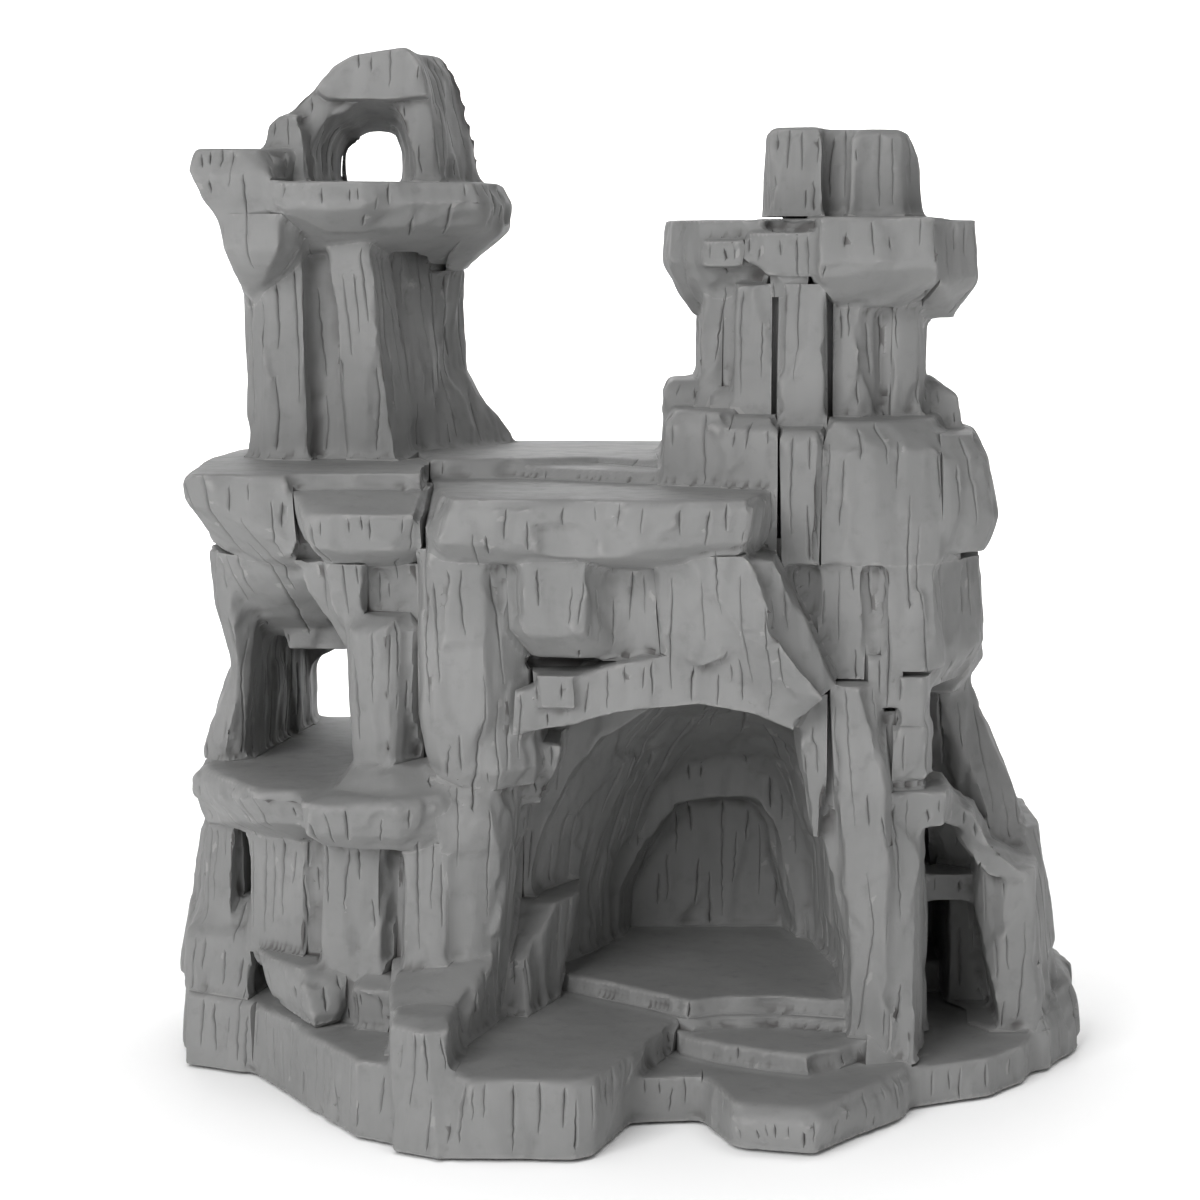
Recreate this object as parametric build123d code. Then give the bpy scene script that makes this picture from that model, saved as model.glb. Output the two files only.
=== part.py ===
from build123d import *
from itertools import combinations
import os

# Cave ornament: two rock towers joined by a bridge over an open cave, cast as hollow resin pieces
# that plug into one another and are bonded.  X runs to the right, Y to the back, Z up; the origin is
# on the floor under the middle of the outline.  Sizes are in millimetres.

# Levels of the flat surfaces, from the floor up
FOOT = 1  # height that the rubber feet stand proud of the bottom plate
PAD = 3  # thickness of a rubber foot
POOL = 16  # floor of the small pool at the right
LOW_TERRACE = 18
HIGH_TERRACE = 26
SLAB = 30  # front left slab
CAVE_FLOOR = 37
BALCONY = 122  # sill of the left window chamber
STEP = 234  # lower step of the bridge and of the left ledge
DECK = 242  # bridge deck and left ledge
RIGHT_RING = 338  # top of the right battlement
LEFT_RING = 352  # top of the left battlement
CAP_TOP = 373
ARCH_TOP = 406

# How the castings fit
WALL = 7  # resin wall
PLUG = 8  # depth of the spigots that locate one casting in the next
SEAT = 5  # depth of the recess that the bottom plate sits in
TINY = 1e-6


def hull(points):
    """The smallest convex solid around the points, with one flat face on each side."""
    corners = list(dict.fromkeys(points))
    found = set()
    faces = []
    for a, b, c in combinations(corners, 3):
        normal = cross(minus(b, a), minus(c, a))
        size = dot(normal, normal) ** 0.5
        if size < TINY:
            continue
        side = [dot(normal, minus(p, a)) / size for p in corners]
        if max(side) > TINY and min(side) < -TINY:
            continue
        outward = normal if max(side) <= TINY else cross(minus(c, a), minus(b, a))
        flat = frozenset(i for i, s in enumerate(side) if abs(s) <= TINY)
        if flat not in found:
            found.add(flat)
            faces.append(flat_face([corners[i] for i in flat], outward))
    return Solid(Shell(faces))


def flat_face(corners, normal):
    """The outline round coplanar corners, walked anticlockwise about the outward normal."""
    ring = [max(corners)]
    while len(ring) == 1 or ring[-1] != ring[0]:
        here = ring[-1]
        best = None
        for point in corners:
            if point == here:
                continue
            if best is None or lies_outside(here, best, point, normal):
                best = point
        ring.append(best)
    return Face(Wire.make_polygon(ring[:-1], close=True))


def lies_outside(here, best, point, normal):
    """Whether point is to the right of the way from here to best, or further along it."""
    way = minus(best, here)
    spoke = minus(point, here)
    side = dot(normal, cross(way, spoke))
    return side < -TINY or (side <= TINY and dot(spoke, spoke) > dot(way, way))


def minus(p, q):
    return (p[0] - q[0], p[1] - q[1], p[2] - q[2])


def dot(p, q):
    return p[0] * q[0] + p[1] * q[1] + p[2] * q[2]


def cross(p, q):
    return (p[1] * q[2] - p[2] * q[1], p[2] * q[0] - p[0] * q[2], p[0] * q[1] - p[1] * q[0])


def rock(*rings):
    """A convex boulder through flat rings of corners, each ring given as (height, [(x, y), ...])."""
    return hull([corner for z, ring in rings for corner in at(z, ring)])


def at(z, corners):
    """Corners (x, y) lifted to one height."""
    return [(x, y, z) for x, y in corners]


def slab(low, high, outline):
    """An upright block over any outline."""
    face = make_face(Polyline(*[(x, y) for x, y in outline], close=True))
    return Pos(0, 0, low) * extrude(face, high - low)


def cross_cut(near, far, outline, far_outline=None):
    """A convex block that runs from front to back; its outlines are (x, z) corners."""
    front = [(x, near, z) for x, z in outline]
    back = [(x, far, z) for x, z in far_outline or outline]
    return hull(front + back)


def biggest(shape):
    """The largest solid of a cut shape; crumbs left by the cut fall away."""
    return max(shape.solids(), key=lambda s: s.volume)


def boxes_meet(a, b):
    """Whether two bounding boxes overlap."""
    p, q = a.bounding_box(), b.bounding_box()
    return all(
        lo < hi
        for lo, hi in (
            (max(p.min.X, q.min.X), min(p.max.X, q.max.X)),
            (max(p.min.Y, q.min.Y), min(p.max.Y, q.max.Y)),
            (max(p.min.Z, q.min.Z), min(p.max.Z, q.max.Z)),
        )
    )


def casting(rocks, hollows=(), fitted=()):
    """Fused boulders, less the hollows and less the castings that are already in place."""
    body = rocks[0].fuse(*rocks[1:])
    tools = list(hollows) + [other for other in fitted if boxes_meet(body, other)]
    if tools:
        body = body.cut(*tools)
    return biggest(body)


# ---------------------------------------------------------------- left tower


def left_arch():
    """The broken window arch on the left tower."""
    front = [(-146, LEFT_RING), (-144, 376), (-136, 382), (-127, 392), (-121, 397), (-112, 401), (-89, 404)]
    front += [(-83, 398), (-79, 380), (-77, LEFT_RING)]
    back = [(-140, LEFT_RING), (-138, 376), (-122, 395), (-108, 401), (-90, ARCH_TOP), (-77, 405),
            (-69, 393)]
    back += [(-67, 372), (-60, LEFT_RING)]
    arch = cross_cut(44, 88, front, back)
    brow = cross_cut(
        37,
        70,
        [(-128, 389), (-120, 398), (-111, 403), (-90, ARCH_TOP), (-83, 399), (-80, 386), (-98, 384),
         (-122, 385)],
        [(-130, 388), (-120, 398), (-111, 403), (-90, ARCH_TOP), (-80, 402), (-74, 386), (-98, 382),
         (-122, 382)],
    )
    shoulder = rock(
        (LEFT_RING, [(-148, 32), (-129, 29), (-127, 60), (-148, 66)]),
        (374, [(-147, 33), (-130, 31), (-127, 60), (-146, 64)]),
        (379, [(-141, 38), (-132, 35), (-130, 58), (-140, 60)]),
    )
    plug = slab(LEFT_RING - PLUG, LEFT_RING, [(-138, 50), (-72, 50), (-70, 84), (-136, 84)])
    near = [(-127, 340), (-127, 364), (-124, 373), (-118, 379), (-108, 384), (-99, 384), (-93, 376),
            (-89, 364)]
    near += [(-88, 340)]
    far = [(-116, 340), (-116, 364), (-113, 369), (-108, 372), (-99, 372), (-97, 364), (-97, 340)]
    window = [cross_cut(20, 44, near), cross_cut(44, 89, near, far), cross_cut(89, 110, far)]
    return casting([arch, brow, shoulder, plug], window)


def left_ring(fitted):
    """Battlement platform of the left tower, with its merlon and corbel."""
    platform = rock(
        (LEFT_RING, [(-140, 6), (-90, 3), (-62, 12), (-52, 36), (-52, 92), (-72, 118), (-140, 120),
                     (-162, 90)]),
        (343, [(-142, 2), (-90, 0), (-58, 8), (-47, 38), (-47, 92), (-68, 124), (-144, 124), (-167, 90)]),
        (334, [(-124, 8), (-90, 8), (-56, 20), (-48, 40), (-49, 92), (-70, 123), (-142, 122), (-164, 90)]),
        (327, [(-119, 22), (-94, 24), (-62, 40), (-55, 60), (-56, 92), (-74, 118), (-144, 118),
               (-158, 86)]),
        (319, [(-84, 52), (-68, 64), (-66, 92), (-78, 112), (-144, 112), (-152, 84), (-146, 50)]),
    )
    front_band = rock(
        (LEFT_RING, [(-141, 3), (-122, -3), (-104, -3), (-90, 1), (-90, 30), (-141, 30)]),
        (342, [(-142, 1), (-121, -6), (-104, -6), (-92, 0), (-92, 30), (-142, 30)]),
        (331, [(-119, 10), (-104, 10), (-96, 20), (-120, 26)]),
    )
    merlon = rock(
        (334, [(-163, 18), (-142, 12), (-134, 56), (-164, 70)]),
        (344, [(-170, 12), (-141, 5), (-132, 56), (-171, 70)]),
        (354, [(-175, 10), (-141, 3), (-132, 56), (-175, 72)]),
        (365, [(-172, 12), (-147, 9), (-132, 34), (-132, 60), (-170, 74)]),
    )
    corbel = rock(
        (339, [(-164, 14), (-138, 4), (-127, 18), (-127, 60), (-164, 60)]),
        (325, [(-163, 13), (-138, 4), (-128, 18), (-128, 60), (-163, 60)]),
        (319, [(-161, 18), (-142, 10), (-132, 22), (-132, 60), (-161, 60)]),
        (312, [(-157, 28), (-147, 24), (-142, 40), (-157, 50)]),
        (302, [(-155, 40), (-151, 36), (-149, 50), (-155, 54)]),
    )
    flank = rock(
        (346, [(-64, 24), (-50, 34), (-48, 80), (-64, 90)]),
        (333, [(-64, 22), (-49, 34), (-47, 80), (-64, 90)]),
        (316, [(-76, 50), (-68, 60), (-67, 84), (-76, 90)]),
    )
    back_block = rock(
        (349, [(-130, 110), (-92, 114), (-90, 126), (-128, 127)]),
        (330, [(-132, 110), (-90, 114), (-88, 128), (-130, 129)]),
        (312, [(-122, 100), (-98, 100), (-98, 118), (-122, 118)]),
    )
    plug = slab(318 - PLUG, 324, [(-142, 50), (-88, 50), (-84, 104), (-142, 104)])
    core = rock(
        (300, [(-134, 58), (-96, 58), (-92, 96), (-134, 96)]),
        (LEFT_RING - PLUG - WALL, [(-138, 30), (-84, 26), (-70, 50), (-70, 86), (-84, 104), (-140, 104)]),
    )
    rocks = [platform, front_band, merlon, corbel, flank, back_block, plug]
    return casting(rocks, [core], fitted)


def left_shaft(fitted):
    """Shaft of the left tower, flaring to the right at its foot."""
    top = 334
    body = rock(
        (DECK - 1, [(-157, 46), (-151, 33), (-94, 33), (-84, 54), (-64, 96), (-78, 120),
                    (-148, 120), (-158, 84)]),
        (top, [(-158, 50), (-151, 34), (-106, 34), (-92, 54), (-70, 90), (-76, 116), (-146, 116),
               (-160, 84)]),
    )
    left_rib = rock(
        (DECK - 1, [(-157, 40), (-147, 26), (-128, 23), (-124, 50), (-156, 60)]),
        (290, [(-155, 38), (-146, 26), (-130, 23), (-127, 50), (-155, 60)]),
        (top, [(-154, 38), (-145, 28), (-129, 24), (-127, 50), (-154, 60)]),
    )
    panel = rock(
        (DECK - 1, [(-114, 25), (-93, 22), (-84, 46), (-112, 56)]),
        (290, [(-118, 24), (-100, 20), (-90, 46), (-118, 56)]),
        (top, [(-122, 23), (-104, 19), (-96, 42), (-122, 56)]),
    )
    side_rib = rock(
        (DECK - 1, [(-90, 40), (-78, 56), (-70, 84), (-90, 90)]),
        (276, [(-92, 40), (-80, 58), (-72, 84), (-92, 90)]),
        (300, [(-90, 48), (-82, 62), (-78, 80), (-90, 86)]),
    )
    flare = rock(
        (DECK - 1, [(-90, 42), (-70, 62), (-46, 104), (-58, 121), (-100, 121)]),
        (250, [(-87, 46), (-66, 72), (-51, 102), (-60, 120), (-90, 120)]),
        (258, [(-85, 52), (-64, 82), (-58, 102), (-66, 119), (-90, 119)]),
        (274, [(-83, 60), (-68, 86), (-67, 104), (-76, 116), (-90, 118)]),
    )
    knuckle = rock(
        (294, [(-80, 66), (-70, 84), (-72, 104), (-86, 104)]),
        (316, [(-82, 62), (-67, 84), (-69, 106), (-88, 106)]),
    )
    back_ribs = [
        rock(
            (DECK - 1, [(x, 100), (x + 20, 100), (x + 18, 124), (x + 3, 125)]),
            (h, [(x + 1, 100), (x + 19, 100), (x + 16, 121), (x + 4, 122)]),
        )
        for x, h in ((-150, 318), (-127, 300), (-102, 326))
    ]
    plug = slab(DECK - PLUG, DECK, [(-146, 50), (-98, 50), (-84, 100), (-146, 100)])
    core = rock(
        (DECK - PLUG - 4, [(-138, 60), (-104, 60), (-92, 94), (-138, 94)]),
        (top + 4, [(-138, 52), (-106, 52), (-88, 88), (-92, 100), (-140, 100)]),
    )
    rocks = [body, left_rib, panel, side_rib, flare, knuckle, *back_ribs, plug]
    return casting(rocks, [core], fitted)


# ---------------------------------------------------------------- right tower


def right_cap():
    """The topmost block of the right tower, open at its middle."""
    left = rock(
        (RIGHT_RING, [(52, 2), (56, -3), (75, -6), (78, 60), (54, 62)]),
        (371, [(52, 2), (56, -2), (75, -5), (78, 58), (55, 60)]),
        (CAP_TOP, [(56, 4), (74, 0), (74, 52), (58, 54)]),
    )
    right = rock(
        (RIGHT_RING, [(84, -6), (106, -6), (116, 8), (116, 56), (104, 64), (80, 62)]),
        (358, [(84, -6), (106, -6), (115, 8), (115, 54), (103, 63), (80, 61)]),
        (369, [(85, -5), (106, -5), (111, 8), (111, 52), (102, 62), (82, 60)]),
        (CAP_TOP - 1, [(88, 0), (104, 0), (106, 10), (106, 50), (98, 56), (84, 54)]),
    )
    bridge = rock(
        (RIGHT_RING, [(72, 6), (88, 6), (88, 58), (72, 58)]),
        (CAP_TOP - 1, [(72, 4), (88, 4), (88, 54), (72, 54)]),
    )
    plug = slab(RIGHT_RING - PLUG, RIGHT_RING, [(62, 10), (106, 10), (106, 48), (62, 48)])
    core = rock(
        (RIGHT_RING - PLUG - 1, [(70, 18), (98, 18), (98, 40), (70, 40)]),
        (CAP_TOP - WALL, [(64, 12), (102, 12), (102, 44), (64, 44)]),
    )
    return casting([left, right, bridge, plug], [core])


def right_ring(fitted):
    """Battlement of the right tower: a left wing, a raised tee, the front block and the right wing."""
    left = rock(
        (RIGHT_RING - 1, [(15, 12), (26, -8), (54, -16), (60, 84), (30, 84), (13, 64)]),
        (320, [(13, 10), (25, -8), (54, -14), (60, 86), (30, 86), (12, 64)]),
        (309, [(17, 14), (30, -2), (52, -6), (60, 78), (34, 76), (18, 60)]),
        (299, [(24, 22), (36, 8), (52, 4), (58, 70), (36, 66), (26, 50)]),
    )
    front = rock(
        (RIGHT_RING, [(70, -36), (116, -37), (122, 0), (122, 60), (66, 60)]),
        (320, [(70, -38), (117, -39), (123, 0), (123, 60), (68, 60)]),
        (315, [(69, -34), (118, -32), (122, 0), (122, 56), (68, 56)]),
        (303, [(80, -18), (98, -18), (112, 4), (110, 50), (74, 50)]),
    )
    right = rock(
        (RIGHT_RING - 1, [(119, -22), (135, -8), (139, 50), (124, 74), (110, 70)]),
        (313, [(119, -24), (137, -8), (141, 50), (124, 76), (110, 70)]),
        (298, [(112, 2), (128, 8), (130, 46), (118, 60), (108, 56)]),
    )
    tee_left = rock(
        (329, [(27, -10), (30, -17), (42, -22), (46, 0), (28, 4)]),
        (326, [(25, -12), (27, -17), (43, -23), (46, 0), (28, 4)]),
        (318, [(26, -12), (29, -16), (42, -21), (44, 0), (28, 4)]),
    )
    tee_bar = rock(
        (332, [(44, -18), (50, -24), (70, -28), (72, 0), (46, 0)]),
        (322, [(43, -18), (50, -25), (70, -29), (72, 0), (46, 0)]),
        (315, [(51, -24), (69, -28), (72, 0), (52, 0)]),
    )
    tee_foot = rock(
        (317, [(53, -20), (68, -23), (72, 0), (54, 0)]),
        (307, [(54, -19), (67, -21), (70, 0), (55, 0)]),
    )
    web = rock(
        (RIGHT_RING - 1, [(40, -8), (72, -14), (72, 84), (44, 88)]),
        (300, [(42, 2), (74, -4), (72, 78), (46, 80)]),
    )
    back = rock(
        (RIGHT_RING - 3, [(54, 76), (100, 74), (96, 94), (60, 96)]),
        (316, [(52, 74), (102, 72), (98, 97), (58, 99)]),
        (302, [(60, 66), (94, 66), (90, 84), (64, 84)]),
    )
    plug = slab(300 - PLUG, 306, [(46, 14), (102, 14), (104, 58), (46, 58)])
    core = rock(
        (290, [(56, 24), (92, 24), (92, 50), (56, 50)]),
        (RIGHT_RING - PLUG - WALL, [(40, 4), (112, -8), (120, 50), (90, 70), (44, 70)]),
    )
    rocks = [left, front, right, tee_left, tee_bar, tee_foot, web, back, plug]
    return casting(rocks, [core], fitted)


def right_shaft(fitted):
    """Ribbed shaft of the right tower between its ledge and the battlement."""
    foot = 252
    top = 312
    body = rock(
        (foot, [(24, 14), (36, -4), (56, -12), (100, -8), (117, 8), (119, 78), (62, 96), (26, 80)]),
        (top, [(28, 14), (38, -2), (56, -10), (102, -6), (117, 8), (118, 76), (62, 92), (28, 76)]),
    )
    ribs = [
        rock(
            (foot, [(24, -2), (35, -6), (37, 14), (26, 20)]),
            (292, [(26, -2), (35, -4), (37, 14), (28, 20)]),
            (top, [(29, 0), (36, -2), (38, 14), (30, 18)]),
        ),
        rock(
            (foot, [(38, -16), (54, -20), (57, 6), (38, 8)]),
            (top, [(39, -14), (54, -18), (57, 6), (39, 8)]),
        ),
        rock(
            (foot, [(56, -26), (75, -29), (78, 0), (57, 2)]),
            (top, [(57, -24), (74, -26), (77, 0), (57, 2)]),
        ),
        rock(
            (foot, [(78, -18), (88, -21), (98, -12), (98, 10), (78, 10)]),
            (top, [(78, -16), (88, -18), (97, -10), (98, 10), (78, 10)]),
        ),
        rock(
            (foot, [(101, -12), (115, -8), (121, 14), (102, 14)]),
            (top, [(102, -8), (113, -4), (119, 14), (102, 14)]),
        ),
    ]
    right_step = rock(
        (foot, [(110, 4), (133, 8), (136, 56), (110, 70)]),
        (268, [(112, 6), (130, 8), (133, 54), (112, 66)]),
        (275, [(112, 10), (121, 12), (123, 50), (112, 58)]),
    )
    back_ribs = [
        rock(
            (foot, [(x, 76), (x + 22, 78), (x + 19, 101 + y), (x + 4, 101 + y)]),
            (h, [(x, 76), (x + 21, 78), (x + 17, 94 + y), (x + 5, 94 + y)]),
        )
        for x, y, h in ((30, -6, 296), (55, 0, 310), (82, -4, 288))
    ]
    left_step = rock(
        (foot, [(11, 10), (31, 2), (42, 20), (34, 70), (12, 66)]),
        (270, [(12, 10), (31, 2), (40, 20), (32, 68), (13, 64)]),
        (274, [(15, 14), (30, 8), (36, 20), (30, 62), (16, 58)]),
    )
    low_block = rock(
        (foot, [(30, -10), (51, -17), (58, 10), (30, 16)]),
        (268, [(31, -10), (51, -17), (56, 10), (31, 14)]),
        (272, [(34, -4), (49, -11), (55, 10), (33, 12)]),
    )
    plug = slab(foot - PLUG, foot, [(46, 14), (104, 14), (104, 62), (46, 62)])
    core = rock(
        (foot - PLUG - 1, [(54, 22), (96, 22), (96, 54), (54, 54)]),
        (top + 1, [(42, 8), (104, 8), (108, 66), (62, 80), (40, 66)]),
    )
    rocks = [body, *ribs, *back_ribs, right_step, left_step, low_block, plug]
    return casting(rocks, [core], fitted)


def right_middle(fitted):
    """Stepped middle of the right tower, level with the bridge."""
    foot = 206
    left_panel = rock(
        (foot, [(34, -34), (55, -44), (60, 10), (34, 10)]),
        (236, [(34, -38), (55, -46), (60, 10), (34, 10)]),
        (256, [(37, -36), (55, -44), (60, 10), (36, 10)]),
        (262, [(40, -24), (54, -32), (60, 10), (38, 10)]),
    )
    lit_column = rock(
        (foot, [(57, -45), (70, -50), (80, 0), (57, 0)]),
        (254, [(56, -47), (71, -50), (80, 0), (57, 0)]),
        (258, [(58, -42), (70, -44), (80, 0), (58, 0)]),
    )
    face = rock(
        (foot, [(72, -47), (94, -50), (119, -42), (128, -20), (128, 60), (72, 60)]),
        (250, [(72, -45), (92, -48), (116, -40), (126, -16), (126, 60), (72, 60)]),
        (261, [(76, -38), (94, -34), (115, -24), (122, 0), (122, 60), (76, 60)]),
    )
    right_block = rock(
        (foot + 3, [(118, -38), (138, -28), (144, 30), (136, 80), (118, 90)]),
        (222, [(119, -42), (142, -30), (149, 30), (138, 84), (118, 92)]),
        (243, [(119, -40), (138, -28), (145, 30), (136, 80), (118, 88)]),
        (255, [(118, -34), (133, -22), (139, 30), (132, 74), (118, 80)]),
    )
    left_ledge = rock(
        (DECK - 8, [(10, -26), (38, -38), (52, 0), (44, 70), (10, 60)]),
        (258, [(12, -26), (36, -36), (50, 0), (42, 68), (12, 58)]),
        (264, [(17, -20), (34, -28), (48, 0), (40, 64), (16, 54)]),
    )
    body = rock(
        (foot, [(50, -30), (120, -30), (140, 40), (128, 98), (60, 104), (44, 70)]),
        (256, [(44, -26), (116, -26), (132, 40), (124, 92), (60, 98), (36, 70)]),
    )
    back_ribs = [
        rock(
            (foot, [(x, 84), (x + 24, 84), (x + 21, 109), (x + 4, 110)]),
            (h, [(x + 1, 84), (x + 23, 84), (x + 18, 104), (x + 5, 105)]),
        )
        for x, h in ((52, 247), (79, 232), (105, 240))
    ]
    plug = slab(foot - PLUG, foot, [(70, -16), (116, -16), (116, 66), (70, 66)])
    core = rock(
        (foot - PLUG - 1, [(78, -8), (108, -8), (108, 58), (78, 58)]),
        (foot + 8, [(66, -26), (120, -18), (126, 40), (116, 80), (66, 84)]),
        (257, [(58, -14), (108, -12), (116, 40), (110, 76), (60, 80)]),
    )
    rocks = [left_panel, lit_column, face, right_block, left_ledge, body, *back_ribs, plug]
    return casting(rocks, [core], fitted)


# ---------------------------------------------------------------- bridge and ledges


def bridge_deck(fitted):
    """The deck between the towers: an upper tread behind and two broken slabs in front."""
    upper_left = rock(
        (DECK + 1, [(-79, 12), (-44, 12), (-12, 26), (-12, 122), (-96, 122), (-99, 96)]),
        (222, [(-79, 4), (-12, 4), (-12, 124), (-96, 124), (-99, 96)]),
    )
    upper_right = rock(
        (DECK + 1, [(-14, 27), (31, -22), (56, -22), (60, 110), (30, 120), (-14, 122)]),
        (222, [(-14, 4), (60, -20), (60, 112), (30, 122), (-14, 124)]),
    )
    upper_middle = rock(
        (DECK - 2, [(-46, 10), (-10, 12), (32, -34), (40, 20), (-40, 40)]),
        (222, [(-46, 8), (-10, 8), (32, -36), (40, 20), (-40, 40)]),
    )
    left_slab = hull(
        at(STEP + 1, [(-79, 14), (-72, -60), (-66, -78), (-47, -81), (-25, -80), (-20, 20)])
        + at(231, [(-80, 14), (-73, -62), (-68, -81), (-47, -84), (-24, -82), (-20, 20)])
        + [(-77, -66, 221), (-72, -79, 219), (-52, -81, 219), (-40, -80, 219), (-21, -78, 213),
           (-80, 14, 219)]
        + [(-77, -60, 212), (-70, -66, 210), (-48, -68, 209), (-22, -62, 207), (-22, 10, 207),
           (-80, 10, 208)]
    )
    right_slab = hull(
        at(STEP + 1, [(-25, -80), (-2, -85), (28, -86), (42, -81), (52, -44), (56, 10), (-24, 20)])
        + at(232, [(-26, -82), (-2, -88), (28, -89), (44, -84), (54, -44), (56, 10), (-25, 20)])
        + [(-22, -79, 213), (-11, -83, 213), (8, -85, 217), (33, -84, 221), (43, -80, 219), (52, -44, 218)]
        + [(-18, -62, 207), (8, -64, 207), (36, -66, 209), (48, -40, 209), (48, 0, 207), (-18, 0, 207)]
    )
    back_lip = [
        rock(
            (DECK + rise, [(x, 100), (x + 34, 100), (x + 31, 120), (x + 4, 121)]),
            (214, [(x, 98), (x + 34, 98), (x + 32, 127), (x + 3, 128)]),
        )
        for x, rise in ((-84, 1), (-48, 0), (-12, 1), (24, 0))
    ]
    core = rock(
        (200, [(-60, -40), (36, -50), (44, 100), (-70, 108)]),
        (DECK - 3 - WALL, [(-66, 16), (-10, 30), (34, 0), (44, 100), (-70, 104)]),
        (STEP - WALL, [(-62, -60), (34, -66), (44, 0), (-62, 0)]),
    )
    rocks = [upper_left, upper_right, upper_middle, left_slab, right_slab, *back_lip]
    return casting(rocks, [core], fitted)


def left_ledge(fitted):
    """The ledge that carries the left tower, with a lower step at its right."""
    main = hull(
        at(DECK - 1, [(-168, -42), (-144, -42), (-131, -40), (-131, 121), (-150, 121), (-166, 96),
                      (-172, 40)])
        + at(DECK - 4, [(-173, -38), (-144, -46), (-129, -44), (-130, 123), (-152, 124), (-169, 98),
                        (-175, 40)])
        + [(-173, -34, 230), (-152, -46, 224), (-134, -47, 218), (-127, -46, 211), (-176, 30, 228)]
        + at(228, [(-130, 124), (-152, 126), (-170, 98)])
        + [(-166, -14, 214), (-158, -6, 207), (-148, -22, 205), (-130, -30, 204), (-168, 30, 207)]
        + at(207, [(-168, 80), (-150, 112), (-130, 112)])
    )
    tread = rock(
        (DECK - 1, [(-133, -38), (-80, -36), (-80, 121), (-133, 121)]),
        (DECK - 4, [(-133, -39), (-80, -37), (-80, 123), (-133, 123)]),
        (206, [(-133, -30), (-80, -30), (-80, 112), (-133, 112)]),
    )
    step = rock(
        (STEP, [(-129, -39), (-80, -40), (-76, 0), (-129, 0)]),
        (227, [(-125, -58), (-119, -63), (-102, -67), (-80, -65), (-76, -30), (-130, -30)]),
        (215, [(-122, -60), (-114, -63), (-90, -65), (-79, -60), (-76, -20), (-126, -20)]),
        (211, [(-120, -52), (-108, -58), (-88, -58), (-80, -50), (-76, -20), (-122, -20)]),
        (206, [(-116, -44), (-90, -46), (-82, -42), (-78, -20), (-116, -20)]),
    )
    core = rock(
        (200, [(-148, 0), (-92, -20), (-92, 100), (-148, 100)]),
        (DECK - PLUG - 6, [(-156, -16), (-140, -34), (-96, -32), (-96, 106), (-146, 106), (-158, 60)]),
    )
    return casting([main, tread, step], [core], fitted)


# ---------------------------------------------------------------- left chamber


def chamber_walls(fitted):
    """The window chamber under the left ledge: side wall, sloping hood, inner beam and back wall."""
    high = 207
    side_top = rock(
        (high, [(-169, 4), (-158, -8), (-148, -2), (-134, 100), (-169, 100)]),
        (186, [(-166, 2), (-158, -6), (-147, 2), (-134, 100), (-170, 100)]),
        (160, [(-160, 6), (-156, 0), (-148, 8), (-134, 100), (-170, 100)]),
    )
    side_foot = rock(
        (160, [(-160, 6), (-156, 0), (-148, 8), (-134, 100), (-168, 100)]),
        (146, [(-160, 4), (-156, -2), (-149, 6), (-134, 100), (-170, 100)]),
        (134, [(-168, 8), (-160, -2), (-150, 8), (-134, 100), (-174, 90)]),
        (BALCONY, [(-174, 12), (-163, 2), (-151, 10), (-134, 100), (-176, 90)]),
    )
    hood = rock(
        (high, [(-164, -6), (-148, -24), (-124, -34), (-116, 60), (-166, 60)]),
        (200, [(-160, -6), (-148, -18), (-124, -28), (-116, 20), (-166, 40)]),
        (180, [(-158, 8), (-146, 4), (-118, 0), (-110, 30), (-160, 40)]),
        (170, [(-156, 24), (-120, 20), (-110, 34), (-156, 40)]),
    )
    beam = rock(
        (182, [(-140, 12), (-110, 8), (-108, 40), (-140, 40)]),
        (165, [(-138, 16), (-112, 14), (-110, 38), (-138, 38)]),
    )
    roof = rock(
        (high, [(-160, 20), (-60, -20), (-60, 112), (-160, 112)]),
        (188, [(-158, 30), (-60, -10), (-60, 110), (-158, 110)]),
    )
    back = rock(
        (high, [(-166, 92), (-60, 92), (-60, 118), (-156, 118), (-168, 104)]),
        (BALCONY, [(-174, 92), (-60, 96), (-60, 122), (-158, 122), (-176, 106)]),
    )
    right = rock(
        (high, [(-84, -30), (-64, -40), (-60, 100), (-84, 100)]),
        (BALCONY, [(-82, -8), (-64, -30), (-60, 100), (-82, 100)]),
    )
    window = cross_cut(
        60,
        140,
        [(-134, BALCONY), (-134, 146), (-130, 152), (-122, 156), (-108, 155), (-100, 148), (-98, BALCONY)],
    )
    rocks = [side_top, side_foot, hood, beam, roof, back, right]
    return casting(rocks, [window], fitted)


def chamber_pillar(fitted):
    """The two-tier pillar that stands in the chamber's mouth."""
    high = 207
    lower = rock(
        (118, [(-106, -40), (-92, -48), (-80, -36), (-82, -6), (-106, -6)]),
        (132, [(-107, -46), (-92, -56), (-81, -40), (-82, -6), (-107, -8)]),
        (182, [(-110, -46), (-106, -54), (-92, -60), (-79, -48), (-80, -8), (-110, -8)]),
        (188, [(-105, -46), (-90, -52), (-84, -44), (-84, -12), (-104, -12)]),
    )
    upper = rock(
        (182, [(-114, -42), (-102, -48), (-99, -20), (-114, -20)]),
        (high, [(-118, -46), (-101, -52), (-98, -20), (-118, -20)]),
    )
    recess = rock(
        (182, [(-103, -38), (-80, -44), (-80, -10), (-103, -10)]),
        (high, [(-103, -42), (-81, -47), (-80, -10), (-103, -10)]),
    )
    bracket = rock(
        (high, [(-130, -34), (-112, -44), (-108, -20), (-124, -12)]),
        (192, [(-124, -32), (-112, -40), (-108, -18), (-120, -14)]),
        (172, [(-112, -34), (-108, -38), (-106, -16), (-111, -16)]),
    )
    return casting([lower, upper, recess, bracket], (), fitted)


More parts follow.
